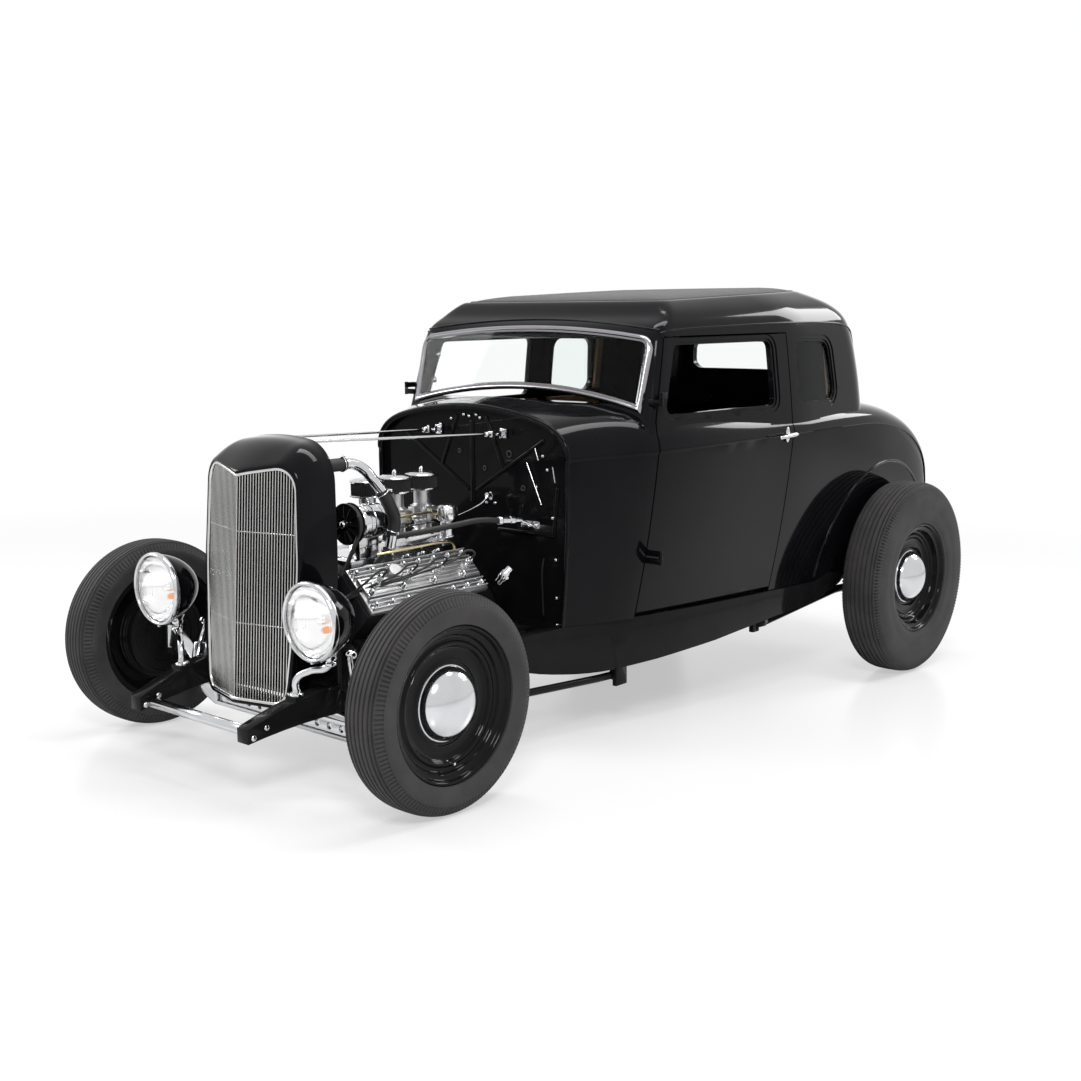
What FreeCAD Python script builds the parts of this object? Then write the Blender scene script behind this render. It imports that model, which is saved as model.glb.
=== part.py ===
import FreeCAD, Part
import math
import os
import re
import Sketcher

# Hot rod coupe, millimetres.  +X is the car's left, +Y runs rearwards and +Z up.
# Sprung pieces are drawn in the body's own level frame, whose origin is on the ground
# under the front axle, and are then raked nose-down about that point.  Axles and wheels
# are drawn straight in the ground frame.  At the end all is moved so that the origin
# lies on the ground at the middle of the car's box.

V = FreeCAD.Vector
X_AXIS, Y_AXIS, Z_AXIS = V(1, 0, 0), V(0, 1, 0), V(0, 0, 1)

# name, value, what it sets
SIZES = [
    ("wheelbase", 2692, "front axle to rear axle"),
    ("rake", 2.7, "degrees the body leans nose-down"),
    ("front_tyre_radius", 315.5, "rolling radius, front"),
    ("front_tyre_width", 140, "section width, front"),
    ("front_half_track", 696, "car's middle to a front wheel's middle"),
    ("rear_tyre_radius", 396, "rolling radius, rear"),
    ("rear_tyre_width", 172, "section width, rear"),
    ("rear_half_track", 716, "car's middle to a rear wheel's middle"),
    ("rim_radius", 226, "rim flange"),
    ("cap_radius", 110, "hub cap"),
    ("cap_reach", 84, "hub cap crown from the wheel's middle plane"),
    ("drum_radius", 150, "brake drum"),
    ("spindle_radius", 16, "wheel spindle"),
    ("bearing_clearance", 0.05, "radial running fit of spindles and kingpins"),
    ("seat_gap", 0.3, "between pieces that are bolted together on curved faces"),
    ("moving_gap", 5, "around doors and lid"),
    ("kingpin_half_track", 596, "car's middle to a kingpin"),
    ("arm_length", 150, "kingpin to the tie rod's end, fore and aft"),
    ("kingpin_radius", 12, "kingpin"),
    ("axle_drop", 158, "height of the front beam's middle above ground"),
    ("beam_depth", 58, "front beam, top to bottom"),
    ("beam_width", 40, "front beam, fore and aft"),
    ("rail_wall", 50, "width of a frame rail"),
    ("horn_half_width", 290, "outer face of the rails at the front tips"),
    ("frame_front", -345, "front tips of the rails"),
    ("frame_rear", 3150, "rear tips of the rails"),
    ("sill_front", 338, "underside of the body at the cowl rim"),
    ("sill_rear", 298, "underside of the body where the rear arch starts"),
    ("sill_run", 1400, "distance between those two"),
    ("cowl_front", 850, "front rim of the cowl"),
    ("cowl_wall", 16, "thickness of the cowl ahead of its door posts"),
    ("windshield_lean", 14.84, "degrees the windshield leans back"),
    ("windshield_foot", 1098, "front face of the pillars at the belt"),
    ("header_height", 1297, "height where the roof starts to turn over"),
    ("hinge_half_width", 614, "car's middle to a door's hinge axis"),
    ("door_front", 1145, "front shut line of the doors"),
    ("door_length", 780, "front shut line to rear shut line"),
    ("door_bottom", 346, "lower edge of the doors, at the front"),
    ("door_top", 1290, "upper edge of the doors"),
    ("handle_height", 918, "door handles"),
    ("upper_hinge", 1088, "upper door hinges"),
    ("lower_hinge", 552, "lower door hinges"),
    ("wall", 44, "thickness of doors and body walls"),
    ("roof_wall", 30, "thickness of the roof"),
    ("belt_height", 960, "height where the upper body starts"),
    ("window_sill", 1030, "lower edge of the side windows"),
    ("window_head", 1262, "upper edge of the side windows"),
    ("arch_radius", 474, "rear wheel arch"),
    ("well_half_width", 500, "car's middle to the wheel wells"),
    ("lid_half_width", 400, "half the deck lid's width"),
    ("lid_front", 2612, "hinged edge of the deck lid"),
    ("lid_bottom", 470, "lower edge of the deck lid"),
    ("tail_end", 3190, "rearmost face of the body"),
    ("shell_wall", 12, "grille shell's rolled lip"),
    ("grille_foot", -183, "foot of the grille's centre crease"),
    ("grille_lean", 0.0706, "how far the crease leans back for each millimetre of height"),
    ("grille_sweep", 15.5, "degrees each half of the grille is swept back"),
    ("bar_count", 20, "grille bars in each half"),
    ("bar_width", 3.5, "one grille bar"),
    ("head_tilt", 45, "degrees each cylinder head leans outwards"),
    ("engine_front", 130, "front face of the block"),
    ("engine_length", 520, "length of the block"),
    ("lamp_radius", 115, "headlamp rim"),
    ("lamp_spacing", 375, "car's middle to a headlamp's middle"),
    ("lamp_height", 531, "headlamp middle"),
    ("lamp_front", -189, "headlamp rim, front face"),
]

doc = FreeCAD.newDocument("HotRod")
sheet = doc.addObject("Spreadsheet::Sheet", "Sizes")
for row, (alias, value, meaning) in enumerate(SIZES, start=1):
    sheet.set("A%d" % row, str(value))
    sheet.setAlias("A%d" % row, alias)
    sheet.set("B%d" % row, meaning)
doc.recompute()

ALIASES = {alias for alias, value, meaning in SIZES}
NODES = []


def size(name):
    """One size from the sheet."""
    return float(getattr(sheet, name))


def bound(expression):
    """An expression on size names, written the way the document wants it."""
    return re.sub(r"[a-z_]+", lambda m: "Sizes." + m.group() if m.group() in ALIASES else m.group(),
                  str(expression))


def worth(expression):
    """The number that an expression on size names gives now."""
    return float(sheet.evalExpression(bound(expression)))


def raked():
    """Placement of everything that hangs on the springs."""
    return FreeCAD.Placement(V(), FreeCAD.Rotation(X_AXIS, size("rake")))


def on_ground(x=0, y=0, z=0, turn=0):
    """Placement in the ground frame, turned about Z."""
    return FreeCAD.Placement(V(x, y, z), FreeCAD.Rotation(Z_AXIS, turn))


def node(label, shape, placement):
    """Add a finished shape as one sub-part of the document."""
    piece = doc.addObject("Part::Feature", label)
    piece.Shape = shape
    piece.Placement = placement.multiply(shape.Placement)
    piece.Label = label
    NODES.append(piece)
    return piece


def keep(piece, label, placement):
    """Name a parametric object and list it as a sub-part."""
    piece.Label = label
    piece.Placement = placement
    NODES.append(piece)
    return piece


def plane_of(body, role):
    """One of a body's own origin planes or axes."""
    return [feature for feature in body.Origin.OriginFeatures if feature.Role == role][0]


def sketch(body, role, corners, name="Outline"):
    """Closed outline on an origin plane; each corner is (across, up) as size expressions."""
    drawing = body.newObject("Sketcher::SketchObject", name)
    drawing.AttachmentSupport = [(plane_of(body, role), "")]
    drawing.MapMode = "FlatFace"
    spots = [(worth(across), worth(up)) for across, up in corners]
    count = len(spots)
    for i, (across, up) in enumerate(spots):
        after = spots[(i + 1) % count]
        drawing.addGeometry(Part.LineSegment(V(across, up, 0), V(after[0], after[1], 0)))
    for i in range(count):
        drawing.addConstraint(Sketcher.Constraint("Coincident", i, 2, (i + 1) % count, 1))
    for i, (across, up) in enumerate(corners):
        for kind, text, number in (("DistanceX", across, spots[i][0]), ("DistanceY", up, spots[i][1])):
            index = drawing.addConstraint(Sketcher.Constraint(kind, -1, 1, i, 1, number))
            drawing.setExpression("Constraints[%d]" % index, bound(text))
    return drawing


def turned(label, corners, placement):
    """PartDesign body: an outline of (along X, radius) corners turned about X."""
    body = doc.addObject("PartDesign::Body", label)
    drawing = sketch(body, "XY_Plane", corners)
    turn = body.newObject("PartDesign::Revolution", "Turn")
    turn.Profile = drawing
    turn.ReferenceAxis = (plane_of(body, "X_Axis"), [""])
    turn.Angle = 360
    return keep(body, label, placement)


def padded(label, role, corners, thickness, placement, midplane=True):
    """PartDesign body: an outline on an origin plane, padded to a thickness."""
    body = doc.addObject("PartDesign::Body", label)
    drawing = sketch(body, role, corners)
    pad = body.newObject("PartDesign::Pad", "Pad")
    pad.Profile = drawing
    pad.Midplane = midplane
    pad.setExpression("Length", bound(thickness))
    return keep(body, label, placement)


# ---------------------------------------------------------------- plain shape helpers

def box(x0, x1, y0, y1, z0, z1):
    """Solid box between two corners."""
    return Part.makeBox(x1 - x0, y1 - y0, z1 - z0, V(x0, y0, z0))


def rod(start, end, radius, end_radius=None):
    """Round bar, or taper, between two points."""
    start, end = V(*start), V(*end)
    run = end - start
    if end_radius is None or end_radius == radius:
        return Part.makeCylinder(radius, run.Length, start, run)
    return Part.makeCone(radius, end_radius, run.Length, start, run)


def fused(shapes):
    """One shape from several that touch."""
    whole = shapes[0].fuse(shapes[1:]) if len(shapes) > 1 else shapes[0]
    return whole.removeSplitter()


def mirrored(shape):
    """A shape and its twin on the other side of the car."""
    return Part.makeCompound([shape, shape.mirror(V(), X_AXIS)])


def chain(points, closed=True):
    """Wire through corners; a corner given as ("arc", through, end) is reached by an arc."""
    edges = []
    start = first = V(*points[0])
    for step in points[1:]:
        if step[0] == "arc":
            through, end = V(*step[1]), V(*step[2])
            edges.append(Part.Arc(start, through, end).toShape())
        else:
            end = V(*step)
            edges.append(Part.makeLine(start, end))
        start = end
    if closed and (start - first).Length > 1e-6:
        edges.append(Part.makeLine(start, first))
    return Part.Wire(edges)


def rounded(corners):
    """Closed wire of straight runs joined by arcs; each corner is (x, y, z, radius)."""
    edges, count = [], len(corners)
    ends = []
    for i, (x, y, z, radius) in enumerate(corners):
        here = V(x, y, z)
        back = (V(*corners[i - 1][:3]) - here).normalize()
        ahead = (V(*corners[(i + 1) % count][:3]) - here).normalize()
        half = back.getAngle(ahead) / 2
        reach = radius / math.tan(half)
        middle = here + (back + ahead).normalize() * (radius / math.sin(half) - radius)
        ends.append((here + back * reach, middle, here + ahead * reach))
    for i, (start, middle, end) in enumerate(ends):
        edges.append(Part.Arc(start, middle, end).toShape())
        edges.append(Part.makeLine(end, ends[(i + 1) % count][0]))
    return Part.Wire(edges)


def tube(points, radius, bends):
    """Round tube along straight runs joined by tangent arcs of the given bend radii."""
    path = []
    start = V(*points[0])
    for i, bend in enumerate(bends, start=1):
        here = V(*points[i])
        back = (V(*points[i - 1]) - here).normalize()
        ahead = (V(*points[i + 1]) - here).normalize()
        half = back.getAngle(ahead) / 2
        reach = bend / math.tan(half)
        middle = here + (back + ahead).normalize() * (bend / math.sin(half) - bend)
        path.append(Part.makeLine(start, here + back * reach))
        path.append(Part.Arc(here + back * reach, middle, here + ahead * reach).toShape())
        start = here + ahead * reach
    path.append(Part.makeLine(start, V(*points[-1])))
    spine = Part.Wire(path)
    run = V(*points[1]) - V(*points[0])
    ring = Part.Wire(Part.makeCircle(radius, V(*points[0]), run))
    return spine.makePipeShell([ring], True, False)


def prism(points, direction):
    """Solid from a closed outline pushed along a direction."""
    return Part.Face(chain(points)).extrude(V(*direction))


def turned_shape(points, start, direction):
    """Solid of revolution: points are (along, radius) from start along direction."""
    outline = [V(along, radius, 0) for along, radius in points]
    face = Part.Face(Part.makePolygon(outline + [outline[0]]))
    solid = face.revolve(V(), X_AXIS, 360)
    solid.Placement = FreeCAD.Placement(V(*start), FreeCAD.Rotation(X_AXIS, V(*direction)))
    return solid


# ---------------------------------------------------------------- wheels and tyres

def wheels():
    """Four steel wheels with drum and hub cap, and four bias-ply tyres."""
    bore = "spindle_radius + bearing_clearance"
    for end in ("front", "rear"):
        width = "%s_tyre_width" % end
        outer = "%s_tyre_radius" % end
        half = "(%s / 2 - 14)" % width
        rim = [
            ("-" + half + " + 6", bore), ("-" + half + " + 6", "drum_radius"), ("-8", "drum_radius"),
            ("-8", "cap_radius + 12"), ("2", "cap_radius + 12"), ("10", "rim_radius - 48"),
            ("-16", "rim_radius - 44"), ("-" + half + " + 16", "rim_radius - 24"),
            ("-" + half, "rim_radius - 20"), ("-" + half, "rim_radius"),
            ("-" + half + " + 6", "rim_radius"), ("-" + half + " + 8", "rim_radius - 13"),
            ("-" + half + " + 20", "rim_radius - 15"), ("-18", "rim_radius - 34"),
            ("18", "rim_radius - 34"), (half + " - 20", "rim_radius - 15"),
            (half + " - 8", "rim_radius - 13"), (half + " - 6", "rim_radius"),
            (half, "rim_radius"), (half, "rim_radius - 20"),
            (half + " - 16", "rim_radius - 24"), ("30", "rim_radius - 42"),
            ("24", "rim_radius - 60"), ("12", "cap_radius + 26"), ("18", "cap_radius + 4"),
            ("18", "cap_radius"), ("cap_reach * 0.36", "cap_radius * 0.97"),
            ("cap_reach * 0.58", "cap_radius * 0.87"), ("cap_reach * 0.78", "cap_radius * 0.68"),
            ("cap_reach * 0.92", "cap_radius * 0.42"), ("cap_reach * 0.98", "cap_radius * 0.2"),
            ("cap_reach", "bearing_clearance * 20"), ("cap_reach - 6", "bearing_clearance * 20"),
            ("cap_reach - 14", bore),
        ]
        tread = [
            ("-(%s / 2 - 22.4)" % width, "rim_radius - 13 + seat_gap"),
            ("-(%s / 2 - 20 - seat_gap * 1.4)" % width, "rim_radius + seat_gap"),
            ("-(%s / 2 - 9)" % width, "rim_radius + seat_gap"),
            ("-%s * 0.5" % width, "(%s + rim_radius) / 2 - 6" % outer),
            ("-%s * 0.478" % width, "%s - 28" % outer), ("-%s * 0.40" % width, "%s - 9" % outer),
            ("-%s * 0.24" % width, outer),
            ("%s * 0.24" % width, outer),
            ("%s * 0.40" % width, "%s - 9" % outer), ("%s * 0.478" % width, "%s - 28" % outer),
            ("%s * 0.5" % width, "(%s + rim_radius) / 2 - 6" % outer),
            ("%s / 2 - 9" % width, "rim_radius + seat_gap"),
            ("%s / 2 - 20 - seat_gap * 1.4" % width, "rim_radius + seat_gap"),
            ("%s / 2 - 22.4" % width, "rim_radius - 13 + seat_gap"),
        ]
        along = 0 if end == "front" else size("wheelbase")
        for side, sign in (("left", 1), ("right", -1)):
            place = on_ground(sign * size("%s_half_track" % end), along, size(outer),
                              0 if sign > 0 else 180)
            turned("wheel_%s_%s" % (end, side), rim, place)
            turned("tyre_%s_%s" % (end, side), tread, place)


# ---------------------------------------------------------------- chassis

def rail():
    """Left frame rail: its side view and its plan, pushed through each other."""
    front, rear = size("frame_front"), size("frame_rear")
    side = chain([
        (0, front, 238), ("arc", (0, -190, 287), (0, 0, 314)), ("arc", (0, 430, 329), (0, 850, 337)),
        (0, 2240, 297.5), (0, 2400, 330), (0, 2540, 408), (0, 2860, 420), (0, 3010, 350), (0, rear, 322),
        (0, rear, 262), (0, 3000, 280), (0, 2850, 352), (0, 2600, 344), (0, 2440, 262), (0, 2250, 214),
        (0, 1960, 202), (0, 1590, 174), (0, 1270, 160), (0, 1060, 157),
        ("arc", (0, 850, 176), (0, 620, 232)), (0, 0, 226), ("arc", (0, -190, 218), (0, front, 196)),
    ])
    horn, wall = size("horn_half_width"), size("rail_wall")
    plan = chain([
        (horn, front, 0), ("arc", (356, 250, 0), (428, size("cowl_front"), 0)),
        ("arc", (500, 1250, 0), (542, 1700, 0)), ("arc", (560, 2050, 0), (566, 2400, 0)),
        (546, rear, 0), (546 - wall, rear, 0), (566 - wall, 2400, 0),
        ("arc", (560 - wall, 2050, 0), (542 - wall, 1700, 0)),
        ("arc", (500 - wall, 1250, 0), (428 - wall, size("cowl_front"), 0)),
        ("arc", (356 - wall, 250, 0), (horn - wall, front, 0)),
    ])
    return Part.Face(side).extrude(V(700, 0, 0)).common(Part.Face(plan).extrude(V(0, 0, 700)))


def frame():
    """Rails welded to their crossmembers, with the shock and radius rod brackets."""
    left = rail()
    right = left.mirror(V(), X_AXIS)
    members = [
        box(-296, 296, -58, 58, 262, 310),
        box(-440, 440, 1050, 1110, 168, 228),
        box(-45, 45, 1052, 1108, 228, 265.3),
        box(-520, 520, 1880, 1940, 206, 266),
        box(-530, 530, 2840, 2890, 356, 412),
        box(-510, 510, 3070 + size("seat_gap"), 3120, 270, 318),
    ]
    brackets = []
    foot = size("horn_half_width") - 8
    for sign in (1, -1):
        rod_bracket = box(459.3, 475, 1075, 1135, 96, 166)
        rod_plate = box(480, 500, 1900, 1940, 140, 220)
        shock_tower = box(296, 334.7, -36, 14, 296, 420)
        lamp_pad = box(foot - 23, foot + 23, -186, -138, 280, 300)
        mount = prism([(176, 140, 378.7), (190, 140, 393.3), (318, 140, 312), (318, 140, 280)], (0, 40, 0))
        for piece in (rod_bracket, rod_plate, shock_tower, lamp_pad, mount):
            brackets.append(piece if sign > 0 else piece.mirror(V(), X_AXIS))
    node("frame", fused([left, right] + members + brackets), raked())


def spreader_bar():
    """Round bar between the front horns."""
    reach = size("horn_half_width") - size("rail_wall") + 1.6
    bar = doc.addObject("Part::Cylinder", "spreader_bar")
    bar.Radius = 16
    bar.setExpression("Height", bound("2 * (horn_half_width - rail_wall + 1.6)"))
    height = V(0, size("frame_front") + 34, 219)
    across = FreeCAD.Placement(V(-reach, height.y, height.z), FreeCAD.Rotation(Y_AXIS, 90))
    keep(bar, "spreader_bar", raked().multiply(across))


def front_axle():
    """Dropped and drilled I-beam with kingpin bosses and spring perches."""
    pin, level = size("kingpin_half_track"), size("axle_drop")
    centre = size("front_tyre_radius")
    deep, wide = size("beam_depth") / 2, size("beam_width")
    top = [(-pin, 0, centre + 34), (-pin + 40, 0, centre + 20), (-430, 0, level + 78), (-330, 0, level + deep),
           (330, 0, level + deep), (430, 0, level + 78), (pin - 40, 0, centre + 20), (pin, 0, centre + 34)]
    under = [(pin, 0, centre - 34), (pin - 30, 0, centre - 36), (420, 0, level + 6), (330, 0, level - deep),
             (-330, 0, level - deep), (-420, 0, level + 6), (-pin + 30, 0, centre - 36), (-pin, 0, centre - 34)]
    beam = prism(top + under, (0, wide, 0)).translated(V(0, -wide / 2, 0))
    parts = [beam]
    for sign in (1, -1):
        parts.append(rod((sign * pin, 0, centre - 38), (sign * pin, 0, centre + 38), 24))
        parts.append(rod((sign * 400, 0, level + 40), (sign * 400, 0, level + 96), 14))
        parts.append(rod((sign * 400, -26, level + 34), (sign * 400, 62, level + 34), 13))
    whole = fused(parts)
    web = wide / 2 - 6
    for face in (-1, 1):
        pocket = prism([(-320, 0, level - deep + 11), (320, 0, level - deep + 11),
                        (320, 0, level + deep - 11), (-320, 0, level + deep - 11)], (0, web, 0))
        whole = whole.cut(pocket.translated(V(0, 6 if face > 0 else -6 - web, 0)))
    for x in range(-280, 281, 56):
        whole = whole.cut(rod((x, -wide, level), (x, wide, level), 11))
    for sign in (1, -1):
        bore = size("kingpin_radius") + size("bearing_clearance")
        whole = whole.cut(rod((sign * pin, 0, centre - 60), (sign * pin, 0, centre + 60), bore))
    node("front_axle", whole, on_ground())


def leaf_pack(reach, height, drop, count, wide):
    """Transverse leaf spring: arched leaves, each shorter than the one below it."""
    leaves = []
    for i in range(count):
        span = reach * (1 - 0.19 * i)
        sink = drop * (1 - 0.19 * i) ** 2
        z = height + 7 * i
        leaves.append(prism([
            (-span, 0, z - sink), ("arc", (0, 0, z), (span, 0, z - sink)), (span, 0, z - sink + 7),
            ("arc", (0, 0, z + 7), (-span, 0, z - sink + 7)),
        ], (0, wide, 0)).translated(V(0, -wide / 2, 0)))
    return fused(leaves)


def springs():
    """Front and rear transverse leaf springs with their shackles."""
    front = leaf_pack(352, 225.4, 26, 5, 44)
    shackles = [rod((sign * 352, 0, 212), (sign * 380, 0, 240), 8) for sign in (1, -1)]
    eyes = [rod((sign * 352, -22, 212), (sign * 352, 22, 212), 10) for sign in (1, -1)]
    rear = leaf_pack(470, 447.4, 60, 6, 50).translated(V(0, size("wheelbase") + 160, 0))
    node("leaf_springs", Part.makeCompound([fused([front] + eyes + shackles), rear]), on_ground())


def rear_axle():
    """Banjo housing with its tubes and brake backing plates."""
    reach = size("rear_half_track") - size("rear_tyre_width") / 2 + 8
    shaft = size("spindle_radius")
    half = [(0, 0), (0, 132), (50, 128), (110, 92), (170, 58), (reach - 60, 40), (reach - 20, 46),
            (reach - 20, 150), (reach - 8, 150), (reach - 8, shaft), (reach + 70, shaft), (reach + 70, 0)]
    left = turned_shape(half, (0, 0, 0), (1, 0, 0))
    right = turned_shape(half, (0, 0, 0), (-1, 0, 0))
    snout = rod((0, -60, 0), (0, -240, 10), 62, 46)
    torque_tube = rod((0, -230, 9.5), (0, 1113 - size("wheelbase"), -15), 30)
    perches = [rod((sign * 474, 30, -20.9), (sign * 474, 186, -20.9), 12) for sign in (1, -1)]
    ears = [box(sign * 505 - 8, sign * 505 + 8, -50, 30, -88, -30) for sign in (1, -1)]
    whole = fused([left, right, snout, torque_tube] + perches + ears)
    node("rear_axle", whole, on_ground(0, size("wheelbase"), size("rear_tyre_radius")))


def radius_rods():
    """Split front radius rods and rear locating rods."""
    level = size("axle_drop") + 34
    front = tube([(400, 63.1, level), (400, 130, level - 4), (440, 1010, 178), (440, 1095, 178)], 13, [300, 400])
    tip = rod((440, 1095, 178), (440, 1140, 178), 19)
    back = size("wheelbase")
    rear = tube([(505, back - 50.3, 334), (505, back - 200, 334), (490, 1992, 262), (490, 1960, 262)], 16,
                [400, 60])
    eye = rod((490, 1975, 262), (490, 1931.1, 262), 20)
    pairs = [mirrored(fused([front, tip])), mirrored(fused([rear, eye]))]
    node("radius_rods", Part.makeCompound(pairs), on_ground())


def front_shocks():
    """Tube shocks from the axle perches up to the frame brackets."""
    level = size("axle_drop") + 34
    parts = [
        rod((400, -66, level), (400, -26.3, level), 13),
        rod((400, -48, level + 6), (374, -44, 330), 20),
        rod((374, -44, 330), (348, -36, 402), 8),
        rod((335, -36, 402), (362, -36, 402), 12),
    ]
    node("front_shocks", mirrored(fused(parts)), on_ground())


def fuel_tank():
    """Tank hung between the rails behind the rear axle."""
    padded("fuel_tank", "YZ_Plane", [
        ("2900", "250"), ("2924", "226"), ("3046", "226"), ("3070", "250"),
        ("3070", "330"), ("3046", "346"), ("2924", "346"), ("2900", "330"),
    ], "840", raked())


def knuckles():
    """Steered knuckles with kingpin, spindle, backing plate and steering arm."""
    pin, centre = size("kingpin_half_track"), size("front_tyre_radius")
    half = size("front_half_track") - size("front_tyre_width") / 2
    arm_level, arm = centre - 62, size("arm_length")
    parts = [
        rod((pin, 0, centre - 66), (pin, 0, centre + 66), size("kingpin_radius")),
        rod((pin, 0, centre + 38.5), (pin, 0, centre + 58), 24),
        rod((pin, 0, centre - 58), (pin, 0, centre - 38.5), 24),
        box(pin + 4, pin + 26, -22, 22, centre + 38.5, centre + 58),
        box(pin + 4, pin + 26, -22, 22, centre - 58, centre - 38.5),
        box(pin + 26, pin + 36, -26, 26, centre - 58, centre + 58),
        rod((pin + 36, 0, centre), (half + 4, 0, centre), 34),
        rod((half - 4, 0, centre), (half + 4, 0, centre), 140),
        rod((half, 0, centre), (size("front_half_track") + 30, 0, centre), size("spindle_radius")),
        prism([(pin - 18, 0, arm_level - 6), (pin + 14, 0, arm_level - 6), (pin + 12, arm, arm_level - 6),
               (pin - 12, arm, arm_level - 6)], (0, 0, 12)),
        rod((pin, arm, arm_level - 6), (pin, arm, arm_level + 6), 18),
    ]
    left = fused(parts)
    left = left.cut(rod((pin, arm, arm_level - 20), (pin, arm, arm_level + 20), 7 + size("bearing_clearance")))
    node("knuckle_left", left, on_ground())
    node("knuckle_right", left.mirror(V(), X_AXIS), on_ground())


def tie_rod():
    """Tie rod under the two steering arms, as long as the kingpins are apart so that they stay parallel."""
    pin, arm = size("kingpin_half_track"), size("arm_length")
    level = size("front_tyre_radius") - 62
    bar = rod((-pin + 30, arm, level - 36), (pin - 30, arm, level - 36), 9)
    parts = [bar]
    for sign in (1, -1):
        parts.append(rod((sign * pin, arm, level - 48), (sign * pin, arm, level - 12), 15))
        parts.append(rod((sign * pin, arm, level - 24), (sign * pin, arm, level + 9), 7))
        parts.append(rod((sign * (pin - 34), arm, level - 36), (sign * pin, arm, level - 36), 12))
    node("tie_rod", fused(parts), on_ground())


def chassis():
    """Frame, axles, springs, rods and tank."""
    frame()
    spreader_bar()
    front_axle()
    springs()
    rear_axle()
    radius_rods()
    front_shocks()
    fuel_tank()
    knuckles()
    tie_rod()


# ---------------------------------------------------------------- engine

def engine_block():
    """V block with its sump, as one closed mass."""
    padded("engine_block", "XZ_Plane", [
        ("-70", "235"), ("70", "235"), ("96", "330"), ("150", "352"), ("196", "400"), ("270", "474"),
        ("150", "594"), ("110", "560"), ("-110", "560"), ("-150", "594"), ("-270", "474"), ("-196", "400"),
        ("-150", "352"), ("-96", "330"),
    ], "engine_length", raked().multiply(FreeCAD.Placement(V(0, engine_middle(), 0), FreeCAD.Rotation())))


def engine_middle():
    """Middle of the block, fore and aft."""
    return size("engine_front") + size("engine_length") / 2


def cylinder_heads():
    """Finned heads with their rows of cap nuts, one on each bank."""
    front, length = size("engine_front") + 6, size("engine_length") - 12
    plate = box(-84, 84, front, front + length, 0, 22)
    parts = [plate]
    for x in range(-76, 77, 16):
        if abs(x) > 40:
            parts.append(box(x - 2.5, x + 2.5, front + 4, front + length - 4, 22, 34))
    parts.append(box(-36, 36, front + 10, front + length - 10, 22, 40))
    for i in range(8):
        y = front + 30 + i * (length - 60) / 7
        for x, low, high in ((-60, 22, 50), (60, 22, 50), (0, 40, 58)):
            corners = [(x + 9 * math.cos(math.radians(60 * k)), y + 9 * math.sin(math.radians(60 * k)), low)
                       for k in range(6)]
            parts.append(prism(corners, (0, 0, high - low)))
    head = fused(parts)
    lean = FreeCAD.Placement(V(0, 0, 0), FreeCAD.Rotation(Y_AXIS, size("head_tilt")))
    seat = V(210.2, 0, 534.2)
    head.Placement = FreeCAD.Placement(seat, lean.Rotation)
    node("cylinder_heads", mirrored(head), raked())


def intake():
    """Intake manifold, three carburettors and their round filters."""
    middle = engine_middle()
    runner = prism([(-96, 0, 560), (96, 0, 560), (70, 0, 622), (-70, 0, 622)], (0, 400, 0))
    runner.translate(V(0, middle - 150, 0))
    top = box(-40, 40, middle - 60, middle + 290, 622, 646)
    shelf = box(30, 120, middle - 190, middle - 40, 600, 618)
    filler = turned_shape([(0, 0), (0, 24), (70, 24), (74, 30), (78, 37), (112, 37), (120, 34), (126, 24), (128, 0)],
                          (46, middle + 306, 612), (0, 0, 1))
    ledge = box(-40, 74, middle + 254, middle + 334, 604, 630)
    node("intake_manifold", fused([runner, top, shelf, ledge, filler]), raked())
    stacks = []
    for i in range(3):
        y = middle + 112 + 122 * (i - 1)
        stacks.append(turned_shape([(0, 0), (0, 36), (10, 36), (16, 26), (40, 28), (52, 36), (92, 37), (104, 28),
                                    (150, 28), (150, 54), (156, 57), (160, 52), (196, 52), (200, 57), (208, 55),
                                    (214, 32), (218, 9), (228, 6), (229, 0)], (0, y, 646), (0, 0, 1)))
        stacks[-1] = fused([stacks[-1], box(-50, 50 if i else 29, y - 26, y + 26, 701, 733)])
    node("carburettors", Part.makeCompound(stacks), raked())


def generator():
    """Generator across the top front of the engine with its finned pulley."""
    front = size("engine_front")
    case = turned_shape([(0, 0), (0, 34), (8, 47), (18, 54), (108, 54), (117, 44), (122, 20), (123, 0)],
                        (96, front + 98, 735), (0, 1, 0))
    foot = box(78, 114, front + 110, front + 196, 618, 700)
    node("generator", fused([case, foot]), raked())
    drive = turned_shape([(0, 0), (0, 66), (6, 66), (14, 52), (22, 66), (28, 66), (28, 0)],
                         (96, front + 69.7, 735), (0, 1, 0))
    crank = turned_shape([(0, 0), (0, 74), (6, 74), (14, 60), (22, 74), (28, 74), (28, 30), (57.7, 30), (57.7, 0)],
                         (0, front - 58, 372), (0, 1, 0))
    node("belt_drive", Part.makeCompound([drive, crank]), raked())


def coolant_hoses():
    """Upper hoses from each head to the radiator."""
    hose = tube([(150, 310, 618), (172, 352, 690), (172, 352, 800), (120, 250, 926), (118, 6.6, 926)], 19,
                [60, 60, 60])
    node("coolant_hoses", mirrored(hose), raked())


def exhaust():
    """Three-port headers that gather into a pipe under each side."""
    front = size("engine_front")
    shapes = []
    for i in range(3):
        y = front + 80 + i * 160
        shapes.append(rod((176, y, 376), (250, y + 30, 330), 22))
    log = tube([(250, front + 60, 330), (250, front + 520, 330), (240, front + 760, 262), (240, 1870, 246)],
               26, [200, 200])
    beside = prism([(0, front, 200), (96, front, 330), (150, front, 352), (196, front, 400), (270, front, 474),
                    (0, front, 600)], (0, size("engine_length"), 0))
    node("exhaust", mirrored(fused(shapes + [log]).cut(beside)), raked())


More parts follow.
